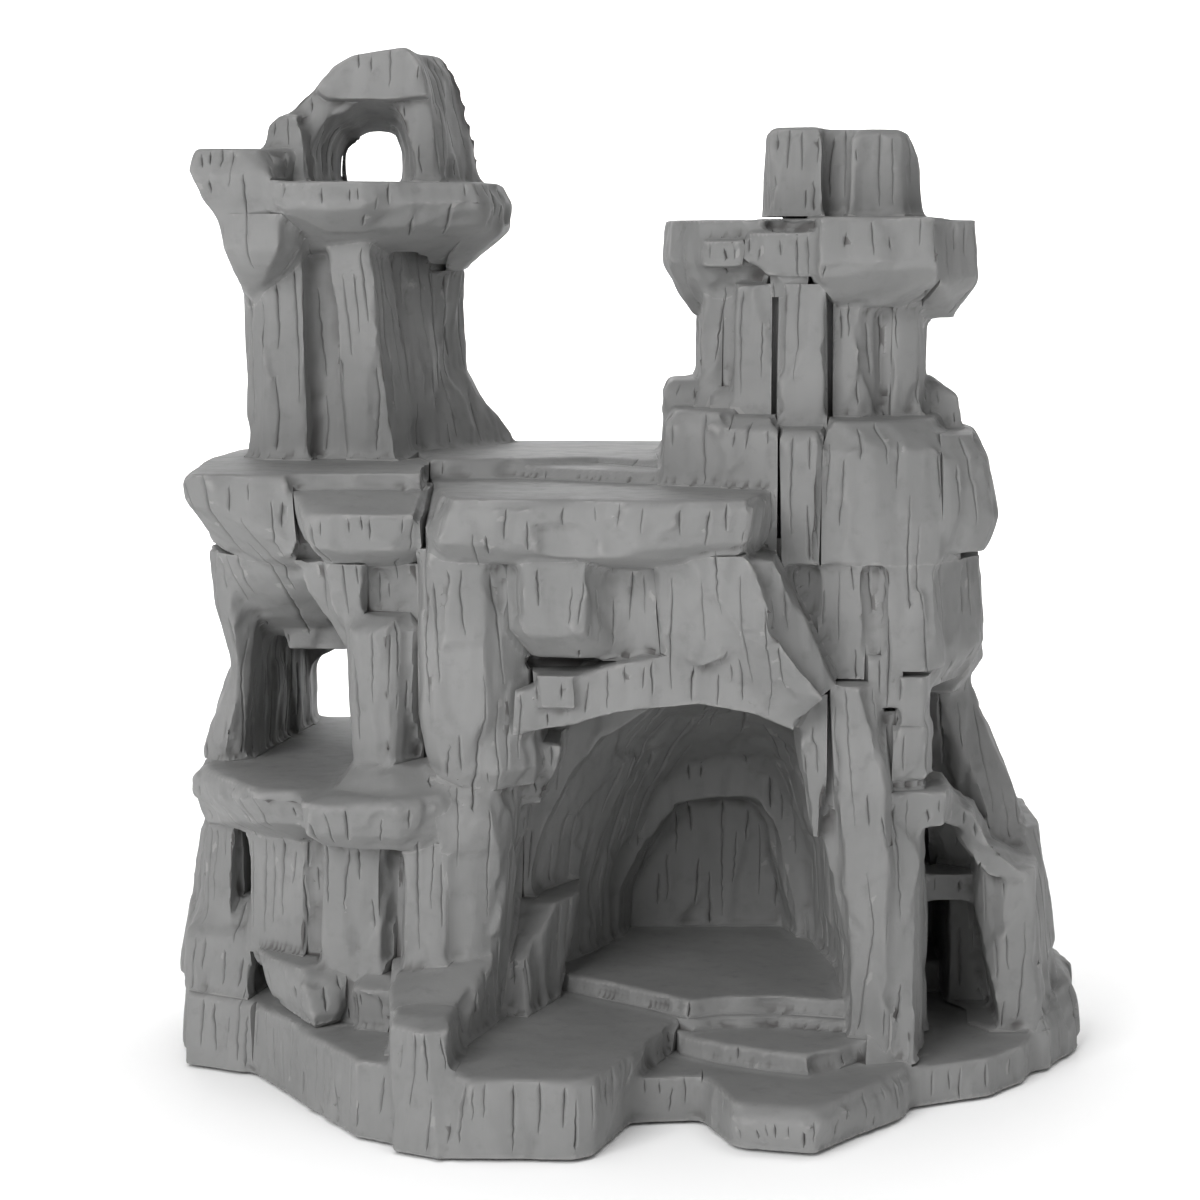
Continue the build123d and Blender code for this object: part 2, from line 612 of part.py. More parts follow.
def balcony(fitted):
    """The sill of the chamber: two overhanging slabs with a low mound at the pillar's foot."""
    left = rock(
        (BALCONY, [(-169, -8), (-157, -22), (-146, -50), (-128, -55), (-90, -20), (-66, 40),
                   (-66, 122), (-170, 120)]),
        (118, [(-175, -6), (-167, -17), (-156, -27), (-145, -57), (-127, -60), (-66, -20),
               (-66, 124), (-176, 110)]),
        (108, [(-176, 0), (-164, -16), (-153, -28), (-142, -50), (-127, -54), (-66, -20),
               (-66, 124), (-177, 110)]),
        (96, [(-174, 12), (-158, 0), (-146, -16), (-128, -30), (-66, 0), (-66, 120), (-174, 100)]),
    )
    right = rock(
        (BALCONY, [(-112, -64), (-99, -67), (-88, -73), (-72, -66), (-62, -50), (-60, 0), (-120, -20)]),
        (118, [(-127, -66), (-117, -73), (-106, -74), (-88, -76), (-71, -68), (-60, -50), (-60, 0),
               (-127, -20)]),
        (107, [(-126, -64), (-106, -70), (-88, -72), (-72, -66), (-60, -46), (-60, 0), (-126, -20)]),
        (99, [(-118, -54), (-104, -60), (-88, -62), (-72, -56), (-60, -36), (-60, 0), (-118, -20)]),
    )
    mound = rock(
        (BALCONY - 1, [(-114, -56), (-99, -66), (-88, -71), (-72, -65), (-60, -48), (-60, 0), (-114, 0)]),
        (126, [(-110, -50), (-94, -61), (-80, -58), (-66, -56), (-60, -40), (-60, 0), (-110, -4)]),
        (131, [(-107, -42), (-93, -56), (-80, -44), (-66, -48), (-60, -30), (-60, 0), (-106, -8)]),
    )
    core = rock(
        (90, [(-152, 10), (-100, -30), (-74, -20), (-74, 100), (-160, 100)]),
        (BALCONY - WALL, [(-158, 8), (-136, -36), (-80, -46), (-74, 100), (-160, 100)]),
    )
    return casting([left, right, mound], [core], fitted)


def left_rocks(fitted):
    """Columns and ledges under the balcony, down to the base."""
    high = 102
    low = 29
    columns = [
        rock(
            (50, [(-178, 14), (-160, -2), (-150, 40), (-180, 50)]),
            (high, [(-171, 14), (-158, 0), (-150, 40), (-173, 50)]),
        ),
        rock(
            (48, [(-154, -12), (-128, -32), (-118, 20), (-154, 20)]),
            (high, [(-152, -12), (-126, -32), (-118, 20), (-152, 20)]),
        ),
        rock(
            (low, [(-122, -44), (-96, -52), (-86, -30), (-86, 0), (-122, 0)]),
            (high, [(-120, -46), (-95, -52), (-86, -34), (-86, 0), (-120, 0)]),
        ),
        rock(
            (48, [(-89, -60), (-70, -64), (-60, -40), (-60, 0), (-89, 0)]),
            (high, [(-87, -58), (-69, -62), (-60, -44), (-60, 0), (-87, 0)]),
        ),
        rock(
            (low, [(-132, -24), (-84, -44), (-84, 0), (-132, 0)]),
            (high, [(-132, -26), (-84, -44), (-84, 0), (-132, 0)]),
        ),
    ]
    far_left = rock(
        (low, [(-182, 4), (-166, -6), (-152, -14), (-140, 30), (-186, 60)]),
        (52, [(-180, 6), (-165, -4), (-151, -10), (-140, 30), (-184, 60)]),
        (56, [(-176, 12), (-164, 0), (-152, -4), (-144, 30), (-180, 56)]),
        (66, [(-174, 22), (-164, 10), (-152, 8), (-144, 30), (-176, 50)]),
    )
    hanging = rock(
        (51, [(-150, -19), (-141, -28), (-128, -46), (-110, -44), (-104, -20), (-150, 0)]),
        (46, [(-149, -21), (-143, -31), (-127, -54), (-110, -51), (-104, -20), (-150, 0)]),
        (34, [(-143, -26), (-122, -61), (-111, -55), (-108, -20), (-142, 0)]),
        (low, [(-134, -26), (-121, -56), (-113, -48), (-112, -10), (-136, 0)]),
    )
    small = rock(
        (low, [(-107, -57), (-93, -62), (-86, -40), (-106, -30)]),
        (45, [(-108, -60), (-92, -66), (-84, -44), (-104, -34)]),
        (49, [(-102, -50), (-88, -54), (-84, -40), (-98, -32)]),
    )
    skirt = hull(
        [(-92, -62, 52), (-74, -66, 54), (-50, -50, 60), (-43, -20, 60), (-92, -92, 46), (-68, -94, 42)]
        + [(-66, -99, low), (-43, -26, low), (-92, -94, low), (-92, 0, low), (-92, 0, 56)]
        + [(-44, 0, low), (-44, 0, 60)]
    )
    side = rock(
        (low, [(-186, 30), (-150, 20), (-60, 0), (-60, 122), (-150, 122), (-182, 96)]),
        (high, [(-174, 30), (-150, 20), (-60, 0), (-60, 118), (-150, 118), (-174, 96)]),
    )
    back_ribs = [
        rock(
            (low, [(x, 100), (x + 26, 100), (x + 22, 130), (x + 4, 130)]),
            (h, [(x + 1, 100), (x + 25, 100), (x + 20, 125), (x + 6, 125)]),
        )
        for x, h in ((-152, 92), (-122, 76), (-90, 97))
    ]
    left_ribs = [
        rock(
            (low, [(-187, y), (-160, y), (-160, y + 26), (-185, y + 24)]),
            (h, [(-178, y + 2), (-160, y), (-160, y + 26), (-177, y + 22)]),
        )
        for y, h in ((34, 88), (66, 70))
    ]
    plug = slab(high, high + PLUG, [(-140, 40), (-80, 30), (-80, 90), (-140, 90)])
    core = rock(
        (low - 1, [(-160, 26), (-110, -20), (-84, -32), (-70, -30), (-70, 106), (-160, 106)]),
        (high - WALL, [(-152, 26), (-110, -20), (-84, -26), (-70, -26), (-70, 104), (-152, 104)]),
    )
    rocks = [*columns, far_left, hanging, small, skirt, side, *back_ribs, *left_ribs]
    rocks.append(plug)
    return casting(rocks, [core], fitted)


# ---------------------------------------------------------------- middle


def central_pier(fitted):
    """The pier that carries the bridge at the left of the cave."""
    low = 29
    high = 214
    upper = rock(
        (high, [(-81, -58), (-76, -65), (-54, -66), (-38, -52), (-34, -20), (-34, 40), (-81, 40)]),
        (150, [(-81, -58), (-77, -64), (-57, -67), (-39, -50), (-34, -20), (-34, 40), (-81, 40)]),
        (134, [(-78, -58), (-72, -65), (-62, -65), (-46, -50), (-36, -20), (-36, 40), (-80, 40)]),
        (124, [(-72, -56), (-64, -60), (-50, -44), (-40, -20), (-40, 40), (-72, 40)]),
    )
    hip = rock(
        (151, [(-58, -60), (-38, -52), (-33, -20), (-33, 30), (-58, 30)]),
        (130, [(-66, -64), (-50, -64), (-34, -54), (-32, -20), (-32, 30), (-66, 30)]),
        (122, [(-64, -58), (-50, -58), (-36, -48), (-34, -20), (-34, 30), (-64, 30)]),
    )
    waist = rock(
        (128, [(-74, -58), (-52, -54), (-38, -30), (-36, 30), (-80, 30)]),
        (112, [(-74, -66), (-54, -64), (-42, -48), (-38, 0), (-38, 30), (-80, 30)]),
        (98, [(-72, -62), (-50, -60), (-42, -46), (-40, 0), (-40, 30), (-80, 30)]),
    )
    foot = rock(
        (104, [(-72, -60), (-48, -58), (-42, -40), (-42, 30), (-80, 30)]),
        (low, [(-70, -60), (-52, -50), (-46, -20), (-44, 30), (-80, 30)]),
    )
    step = rock(
        (low, [(-52, -40), (-40, -44), (-28, -14), (-28, 20), (-52, 20)]),
        (50, [(-52, -36), (-41, -42), (-28, -14), (-26, 20), (-52, 20)]),
        (70, [(-46, -14), (-28, -20), (-18, 4), (-20, 30), (-46, 30)]),
    )
    crest = rock(
        (138, [(-42, -44), (-26, -46), (-24, 0), (-42, 0)]),
        (128, [(-44, -42), (-28, -44), (-24, 0), (-44, 0)]),
        (112, [(-44, -36), (-34, -38), (-32, 0), (-44, 0)]),
    )
    core = rock(
        (low - 1, [(-72, -38), (-58, -36), (-54, 30), (-72, 30)]),
        (high - WALL, [(-72, -50), (-56, -52), (-44, -40), (-44, 30), (-72, 30)]),
    )
    return casting([upper, hip, waist, foot, step, crest], [core], fitted)


def arch_rocks(fitted):
    """Broken arch under the bridge: a lintel band with hanging and slanting boulders in front."""
    high = 216
    band = [(-45, 143), (-44, 160), (-25, 165), (-20, 158), (-20, 147)]
    lintel = [
        cross_cut(-60, 0, band),
        cross_cut(-62, 0, [(-24, 147), (-24, 166), (-4, 171), (-4, 152)]),
        cross_cut(-63, 0, [(-6, 152), (-6, 171), (11, 174), (26, 171), (26, 155), (10, 154)]),
        cross_cut(-62, 0, [(24, 155), (24, 171), (41, 164), (46, 151), (36, 154)]),
        cross_cut(-60, 0, [(38, 154), (40, 166), (54, 160), (64, 148), (62, 144), (48, 150)]),
    ]
    chip = rock(
        (167, [(-37, -64), (-20, -67), (-16, -40), (-38, -40)]),
        (154, [(-36, -64), (-20, -66), (-16, -40), (-36, -40)]),
    )
    backing = rock(
        (high, [(-40, -40), (60, -40), (70, -20), (70, 10), (-40, 10)]),
        (176, [(-40, -37), (40, -37), (70, -28), (70, 10), (-40, 10)]),
        (160, [(-38, -40), (50, -40), (66, -34), (66, 10), (-38, 10)]),
    )
    hanging = rock(
        (high, [(-48, -56), (-40, -70), (-16, -72), (-8, -60), (-8, -20), (-48, -20)]),
        (200, [(-47, -60), (-42, -74), (-17, -76), (-9, -64), (-8, -20), (-47, -20)]),
        (184, [(-46, -60), (-40, -72), (-17, -76), (-7, -62), (-6, -20), (-46, -20)]),
        (172, [(-37, -56), (-20, -60), (-4, -54), (-4, -20), (-38, -20)]),
    )
    slant = [
        hull(
            [(8, -68, 210), (20, -72, 214), (39, -74, 185), (34, -70, 174), (25, -66, 169), (11, -64, 175)]
            + [(8, -30, 214), (22, -30, 216), (40, -30, 182), (28, -30, 168), (10, -30, 172)]
        ),
        hull(
            [(18, -72, 213), (44, -76, 212), (52, -82, 193), (51, -80, 184), (38, -76, 184)]
            + [(20, -30, 216), (48, -30, 216), (54, -30, 190), (40, -30, 182)]
        ),
        hull(
            [(38, -76, 186), (52, -80, 185), (66, -70, 160), (73, -68, 158), (62, -60, 146), (54, -60, 148)]
            + [(35, -60, 164), (33, -64, 174), (36, -20, 176), (56, -20, 190), (72, -20, 162),
               (56, -20, 150)]
        ),
        hull(
            [(42, -70, 212), (54, -66, 210), (78, -58, 163), (72, -62, 158), (50, -72, 186)]
            + [(42, -20, 214), (56, -20, 212), (80, -20, 166), (70, -20, 156)]
        ),
    ]
    fin = rock(
        (171, [(-12, -54), (11, -56), (12, -20), (-12, -20)]),
        (190, [(-12, -60), (9, -63), (11, -20), (-12, -20)]),
        (high, [(-12, -58), (9, -60), (11, -20), (-12, -20)]),
    )
    filler = rock(
        (162, [(14, -60), (50, -60), (50, -20), (14, -20)]),
        (186, [(16, -62), (46, -66), (48, -20), (16, -20)]),
    )
    core = rock(
        (178, [(-36, -30), (34, -30), (44, -10), (44, 10), (-36, 10)]),
        (high + 1, [(-34, -34), (50, -34), (58, -10), (58, 10), (-34, 10)]),
    )
    return casting([*lintel, chip, backing, hanging, fin, filler, *slant], [core], fitted)


def cave_liner(fitted):
    """Side walls, roof and back of the cave, with a niche at the back."""
    low = 29
    high = 168
    block = rock(
        (low, [(-42, -10), (100, -20), (104, 60), (90, 92), (-60, 92), (-60, 20)]),
        (high, [(-42, -14), (84, -14), (90, 60), (84, 92), (-60, 92), (-60, 20)]),
    )
    mouth = [(-46, 20), (-46, 80), (-42, 98), (-30, 121), (-15, 138), (7, 152), (50, 152),
             (74, 141), (84, 100)]
    first = [(-35, 20), (-35, 78), (-31, 97), (-21, 117), (-8, 133), (12, 146), (50, 147),
             (71, 136), (82, 98)]
    second = [(-17, 20), (-16, 66), (-11, 87), (-2, 106), (10, 124), (26, 136), (50, 138), (66, 127), (78, 90)]
    third = [(-4, 20), (-3, 58), (3, 78), (12, 97), (25, 109), (40, 113), (52, 111), (62, 99), (74, 66)]
    cuts = [
        cross_cut(-80, -60, mouth + [(86, 20)]),
        cross_cut(-60, 0, mouth + [(86, 20)], first + [(84, 20)]),
        cross_cut(0, 30, first + [(84, 20)], second + [(80, 20)]),
        cross_cut(29, 58, second + [(80, 20)], third + [(76, 20)]),
    ]
    niche = cross_cut(
        40,
        78,
        [(-4, 20), (-3, 60), (6, 80), (22, 98), (52, 102), (64, 84), (76, 30), (76, 20)],
        [(0, 20), (2, 54), (10, 72), (23, 91), (48, 92), (56, 84), (66, 40), (67, 20)],
    )
    pockets = [
        rock(
            (low - 1, [(-54, 12), (-44, 30), (-16, 64), (-10, 86), (-54, 86)]),
            (140, [(-54, 12), (-44, 24), (-24, 60), (-20, 86), (-54, 86)]),
        ),
        rock(
            (low - 1, [(84, 66), (98, 66), (92, 86), (80, 86)]),
            (140, [(80, 66), (84, 66), (80, 86), (74, 86)]),
        ),
    ]
    return casting([block], [*cuts, niche, *pockets], fitted)


def right_column(fitted):
    """The tall column at the right of the cave, the stalactite beside it and the wall behind."""
    low = 17
    high = 206
    shaft = [
        rock(
            (low, [(83, -58), (97, -64), (107, -50), (106, 20), (84, 20)]),
            (80, [(82, -58), (97, -63), (104, -48), (104, 20), (82, 20)]),
            (100, [(80, -56), (97, -62), (102, -46), (104, 20), (80, 20)]),
        ),
        rock(
            (80, [(80, -57), (97, -61), (102, -44), (104, 20), (80, 20)]),
            (122, [(78, -58), (96, -62), (101, -46), (104, 20), (78, 20)]),
            (162, [(75, -56), (86, -60), (94, -48), (104, 10), (74, 20)]),
        ),
    ]
    stalactite = rock(
        (101, [(68, -48), (73, -50), (74, -40), (69, -40)]),
        (126, [(64, -50), (74, -54), (76, -34), (64, -34)]),
        (158, [(61, -48), (74, -54), (78, -20), (60, -20)]),
    )
    wall = rock(
        (low, [(90, -60), (109, -66), (119, -14), (122, 50), (122, 96), (88, 96), (88, -10)]),
        (92, [(90, -55), (105, -50), (115, -6), (120, 50), (120, 92), (84, 92), (84, -10)]),
        (150, [(94, -46), (113, -40), (118, 0), (120, 50), (120, 92), (80, 92), (80, -10)]),
    )
    band = rock(
        (low + 140, [(62, -34), (74, -40), (92, -46), (114, -40), (130, -6), (140, 50), (130, 96),
                     (62, 96)]),
        (172, [(64, -38), (74, -42), (92, -46), (118, -40), (140, -12), (146, 50), (134, 100), (60, 100)]),
        (high, [(62, -36), (74, -39), (92, -42), (117, -37), (138, -10), (142, 50), (132, 98), (60, 98)]),
    )
    smooth = rock(
        (163, [(72, -44), (88, -50), (92, -30), (72, -30)]),
        (high, [(70, -42), (89, -47), (92, -30), (70, -30)]),
    )
    grooved = rock(
        (166, [(95, -49), (112, -50), (122, -40), (122, -20), (95, -20)]),
        (182, [(95, -50), (117, -48), (122, -36), (122, -20), (95, -20)]),
        (high, [(95, -48), (116, -44), (120, -34), (120, -20), (95, -20)]),
    )
    cheek = rock(
        (60, [(80, -46), (86, -46), (86, 0), (81, 0)]),
        (110, [(75, -43), (86, -48), (86, 0), (78, 0)]),
        (160, [(62, -40), (86, -48), (86, 0), (66, 0)]),
    )
    neck = rock(
        (152, [(90, -50), (103, -50), (108, -20), (90, -20)]),
        (172, [(90, -50), (103, -48), (108, -20), (90, -20)]),
    )
    blocks = [
        rock(
            (143, [(101, -50), (113, -50), (118, -30), (101, -30)]),
            (164, [(102, -52), (113, -51), (118, -30), (101, -30)]),
        ),
        rock(
            (124, [(99, -52), (114, -50), (120, -30), (99, -30)]),
            (145, [(100, -54), (114, -52), (119, -30), (99, -30)]),
        ),
        rock(
            (105, [(99, -50), (121, -48), (126, -20), (99, -20)]),
            (120, [(98, -54), (122, -50), (126, -20), (98, -20)]),
        ),
    ]
    back_ribs = [
        rock(
            (30, [(x, 88), (x + 24, 88), (x + 20, 122), (x + 4, 122)]),
            (h, [(x + 1, 88), (x + 23, 88), (x + 18, 108), (x + 6, 108)]),
        )
        for x, h in ((66, 186), (94, 150), (118, 120))
    ]
    plug = slab(low - 1 - PLUG, low, [(92, 30), (114, 30), (114, 80), (92, 80)])
    core = rock(
        (low - 1 - PLUG, [(98, 38), (108, 38), (108, 72), (98, 72)]),
        (90, [(92, -30), (100, -36), (110, 20), (112, 84), (92, 84)]),
        (150, [(88, -34), (104, -34), (112, 20), (112, 84), (88, 84)]),
        (high + 1, [(72, -30), (110, -34), (130, 0), (130, 84), (72, 84)]),
    )
    rocks = [*shaft, stalactite, wall, band, smooth, grooved, cheek, neck, *blocks, *back_ribs, plug]
    return casting(rocks, [core], fitted)


def right_buttress(fitted):
    """Outer buttress at the right, with a sloping beam over a small grotto."""
    low = 17
    outer = rock(
        (low, [(150, -6), (164, -10), (176, 20), (180, 90), (130, 90), (130, 30)]),
        (56, [(150, 0), (165, -4), (174, 20), (177, 90), (130, 90), (130, 30)]),
        (74, [(148, 2), (164, 0), (172, 20), (174, 88), (130, 88), (130, 34)]),
        (93, [(146, 12), (160, 10), (169, 24), (170, 84), (130, 84), (130, 40)]),
    )
    slope = rock(
        (74, [(124, 26), (150, 6), (164, 16), (168, 84), (120, 88)]),
        (98, [(122, 20), (146, 4), (161, 16), (163, 82), (118, 88)]),
        (116, [(120, 16), (138, 6), (155, 18), (156, 80), (116, 86)]),
        (142, [(116, 12), (126, 6), (142, 18), (143, 74), (112, 84)]),
        (158, [(116, 12), (124, 8), (136, 18), (138, 70), (112, 80)]),
    )
    shoulder = rock(
        (150, [(112, 0), (128, -4), (136, 16), (136, 70), (112, 78)]),
        (162, [(110, -8), (134, -10), (143, 16), (143, 70), (110, 80)]),
        (168, [(110, -8), (134, -10), (143, 16), (143, 70), (110, 80)]),
    )
    beam = [
        hull(
            [(112, -38, 119), (121, -36, 121), (134, -28, 106), (130, -26, 100), (116, -34, 106)]
            + [(112, -10, 121), (124, -8, 121), (138, -6, 106), (130, -6, 98), (112, -10, 104)]
        ),
        hull(
            [(128, -30, 110), (134, -30, 108), (141, -26, 94), (136, -22, 84), (128, -24, 98)]
            + [(128, -4, 112), (138, 0, 108), (146, 4, 94), (138, 2, 82), (126, -2, 96)]
        ),
        hull(
            [(137, -26, 96), (142, -26, 94), (157, -20, 80), (154, -18, 74), (138, -22, 82)]
            + [(138, 4, 96), (146, 8, 94), (164, 4, 80), (160, 4, 72), (138, 2, 80)]
        ),
    ]
    pillar = rock(
        (32, [(136, -4), (146, -16), (160, -14), (166, 6), (138, 14)]),
        (62, [(137, -6), (146, -18), (161, -16), (165, 6), (138, 14)]),
        (84, [(138, -8), (148, -20), (160, -18), (165, 6), (138, 14)]),
    )
    plinth = rock(
        (POOL - 1, [(136, -2), (143, -14), (161, -14), (168, 0), (168, 20), (138, 20)]),
        (30, [(134, -2), (142, -17), (162, -18), (170, 0), (170, 20), (136, 20)]),
        (42, [(134, 0), (142, -13), (162, -14), (168, 0), (168, 20), (136, 20)]),
    )
    cross = rock(
        (64, [(117, 6), (140, 6), (142, 24), (118, 24)]),
        (76, [(117, 4), (140, 4), (142, 24), (118, 24)]),
    )
    back_ribs = [
        rock(
            (low + 8, [(x, 80), (x + 24, 78), (x + 21, 108 - y), (x + 3, 112 - y)]),
            (h, [(x + 1, 80), (x + 21, 78), (x + 17, 98 - y), (x + 5, 100 - y)]),
        )
        for x, y, h in ((130, 0, 112), (154, 12, 84))
    ]
    grotto = cross_cut(
        -40,
        28,
        [(108, 20), (112, 63), (134, 63), (139, 44), (146, POOL + 2), (108, POOL + 2)],
        [(112, 20), (118, 62), (138, 62), (142, 40), (146, POOL + 2), (112, POOL + 2)],
    )
    pocket = cross_cut(
        -20,
        12,
        [(108, 77), (108, 99), (125, 101), (134, 78)],
        [(110, 77), (112, 95), (127, 95), (132, 77)],
    )
    core = rock(
        (low - 1, [(152, 24), (166, 24), (168, 76), (144, 76)]),
        (86, [(150, 24), (160, 24), (160, 74), (140, 74)]),
        (140, [(124, 24), (134, 24), (134, 66), (122, 66)]),
    )
    rocks = [outer, slope, shoulder, *beam, pillar, plinth, cross, *back_ribs]
    return casting(rocks, [grotto, pocket, core], fitted)


def rear_wall(fitted):
    """Rock face that closes the back between the two towers."""
    low = 29
    high = 222
    panels = [
        rock(
            (low, [(x, 88), (x + w, 88), (x + w - 3, 122 + d), (x + 4, 124 + d)]),
            (top, [(x, 88), (x + w, 88), (x + w - 3, 115 + d), (x + 5, 116 + d)]),
        )
        for x, w, d, top in ((-64, 36, 4, high), (-30, 30, 0, 190), (-2, 34, 5, high), (30, 34, 1, 204))
    ]
    steps = [
        rock(
            (low, [(x, 110), (x + w, 110), (x + w - 4, 132 - d), (x + 5, 133 - d)]),
            (top, [(x + 2, 104), (x + w - 2, 104), (x + w - 6, 124 - d), (x + 8, 125 - d)]),
        )
        for x, w, d, top in ((-58, 34, 4, 110), (-22, 28, 7, 74), (8, 36, 5, 128), (44, 28, 8, 86))
    ]
    field = rock(
        (low, [(-64, 84), (66, 84), (66, 112), (-64, 112)]),
        (high, [(-64, 84), (66, 84), (66, 108), (-64, 108)]),
    )
    core = rock(
        (low - 1, [(-50, 84), (54, 84), (54, 104), (-50, 104)]),
        (high + 1, [(-50, 84), (54, 84), (54, 99), (-50, 99)]),
    )
    return casting([field, *panels, *steps], [core], fitted)


# ---------------------------------------------------------------- base


def base(fitted):
    """Terraced base with the cave floor, hollow underneath."""
    left = rock(
        (0, [(-180, -6), (-166, -13), (-150, -20), (-120, 20), (-120, 124), (-150, 122), (-178, 94),
             (-186, 40)]),
        (29, [(-179, -4), (-165, -11), (-151, -18), (-120, 20), (-120, 122), (-150, 120),
              (-176, 92), (-184, 40)]),
    )
    front_left = rock(
        (0, [(-150, -20), (-135, -39), (-115, -81), (-103, -103), (-88, -112), (-80, -60),
             (-100, 60), (-150, 60)]),
        (29, [(-148, -22), (-133, -42), (-114, -80), (-102, -100), (-88, -108), (-80, -60),
              (-100, 60), (-150, 60)]),
    )
    pillar = rock(
        (0, [(-89, -119), (-70, -130), (-62, -127), (-60, -80), (-88, -80)]),
        (44, [(-91, -108), (-78, -117), (-66, -116), (-62, -86), (-90, -84)]),
        (47, [(-88, -100), (-78, -106), (-68, -104), (-66, -88), (-86, -86)]),
    )
    apron = rock(
        (0, [(-66, -129), (-20, -130), (-14, -125), (0, -86), (26, -20), (-20, 60), (-66, 60)]),
        (SLAB - 2, [(-66, -123), (-58, -129), (-20, -130), (-12, -124), (3, -88), (26, -26),
                    (-20, 60), (-66, 60)]),
        (SLAB, [(-64, -118), (-57, -125), (-21, -127), (-14, -122), (1, -88), (24, -28), (-20, 60),
                (-66, 60)]),
    )
    low_block = rock(
        (0, [(-2, -86), (26, -83), (30, 0), (-2, 0)]),
        (LOW_TERRACE, [(0, -86), (26, -84), (30, 0), (0, 0)]),
    )
    terrace = rock(
        (0, [(25, -83), (34, -111), (38, -116), (66, -123), (75, -111), (104, -77), (108, -64),
             (108, 0), (25, 0)]),
        (13, [(25, -84), (34, -118), (40, -123), (66, -128), (76, -117), (93, -84), (108, -70),
              (108, 0), (25, 0)]),
        (LOW_TERRACE, [(27, -82), (35, -114), (50, -118), (64, -122), (74, -114), (91, -78),
                       (106, -66), (108, 0), (25, 0)]),
    )
    tread = slab(
        8,
        HIGH_TERRACE,
        [(16, -40), (19, -54), (34, -67), (50, -76), (66, -82), (78, -74), (86, -64), (104, -56),
         (108, 0), (16, 0)],
    )
    corner = rock(
        (8, [(88, -74), (108, -66), (112, -40), (90, -40)]),
        (HIGH_TERRACE + 2, [(90, -62), (105, -58), (108, -40), (90, -40)]),
    )
    floor = slab(
        8,
        CAVE_FLOOR,
        [(-46, 84), (-46, 10), (-29, -1), (-12, -15), (8, -32), (22, -46), (34, -40), (56, -38), (84, -46)]
        + [(104, -62), (106, 84)],
    )
    riser = slab(
        8,
        CAVE_FLOOR - 7,
        [(-30, 84), (-30, -4), (-12, -18), (10, -38), (24, -50), (34, -45), (56, -43), (84, -52),
         (106, -66), (106, 84)],
    )
    pool = slab(
        0,
        POOL,
        [(104, 60), (104, -66), (112, -64), (139, -51), (155, -32), (161, -16), (168, -12),
         (179, 7), (184, 60)],
    )
    lip = rock(
        (0, [(150, -26), (162, -15), (168, -12), (179, 7), (186, 20), (187, 60), (156, 60)]),
        (20, [(160, -14), (167, -10), (178, 8), (185, 20), (186, 60), (158, 60)]),
        (27, [(166, 2), (178, 14), (183, 24), (184, 60), (162, 60)]),
        (31, [(168, 20), (179, 30), (181, 60), (166, 60)]),
    )
    rear = slab(
        0,
        SLAB - 1,
        [(-182, 40), (187, 50), (183, 84), (166, 108), (140, 122), (96, 129), (40, 127), (4, 130),
         (-50, 128)]
        + [(-96, 130), (-148, 126), (-176, 98)],
    )
    rear_blocks = [
        rock(
            (0, [(x, 100), (x + w, 100), (x + w - 4, 134 - d), (x + 5, 135 - d)]),
            (top, [(x + 1, 100), (x + w - 1, 100), (x + w - 7, 131 - d), (x + 8, 132 - d)]),
        )
        for x, w, d, top in ((-168, 40, 12, 40), (-110, 44, 5, 22), (-30, 38, 5, 24),
                             (60, 44, 6, 36), (112, 36, 12, 28))
    ]
    hollow = slab(
        SEAT,
        11,
        [(-170, 8), (-140, -12), (-104, -84), (-78, -106), (-26, -114), (-8, -80), (30, -76),
         (62, -106), (96, -64)]
        + [(130, -44), (152, -18), (172, 12), (174, 76), (156, 98), (96, 118), (-92, 118),
           (-144, 114), (-168, 84)],
    )
    deep = rock(
        (SEAT, [(-30, 16), (20, -26), (92, -30), (96, 76), (-36, 76)]),
        (CAVE_FLOOR - WALL, [(-26, 18), (20, -22), (90, -26), (94, 74), (-32, 74)]),
    )
    front_deep = rock(
        (SEAT, [(-56, -108), (-28, -112), (-14, -78), (-6, -40), (-56, -40)]),
        (SLAB - WALL, [(-56, -106), (-28, -110), (-14, -78), (-6, -40), (-56, -40)]),
    )
    rocks = [left, front_left, pillar, apron, low_block, terrace, tread, corner, floor, riser, pool, lip, rear]
    rocks += rear_blocks
    return casting(rocks, [hollow, deep, front_deep, plate_outline(0, SEAT)], fitted)


def plate_outline(low, high, gap=0):
    """The block that the bottom plate fills, inside the rim of the base."""
    g = gap
    front = [(-172 + g, 4 + g), (-142 + g, -16 + g), (-106 + g, -90 + g), (-80 + g, -112 + g),
             (-24 - g, -120 + g)]
    front += [(-8 - g, -82 + g), (32, -79 + g), (40, -106 + g), (62 - g, -112 + g), (98 - g, -68 + g)]
    side = [(134 - g, -42 + g), (156 - g, -16 + g), (177 - g, 14 + g), (178 - g, 78 - g),
            (160 - g, 102 - g)]
    back = [(98 - g, 122 - g), (-92, 122 - g), (-148 + g, 118 - g), (-172 + g, 88 - g)]
    return slab(low, high, front + side + back)


def bottom_plate():
    """Flat plate that closes the base, with vents that let the hollow fill and drain."""
    plate = plate_outline(0, SEAT, 0.5)
    vents = [Pos(x, y, 0) * Cylinder(6, 4 * SEAT) for x in (-120, -40, 40, 120) for y in (10, 90)]
    return biggest(plate.cut(*vents, *feet()))


def feet():
    """Six rubber pads bonded into shallow seats under the bottom plate."""
    places = [(-150, 20), (-60, -98), (52, -92), (150, 20), (-130, 98), (120, 90)]
    return [Pos(x, y, PAD / 2 - FOOT) * Cylinder(9, PAD) for x, y in places]


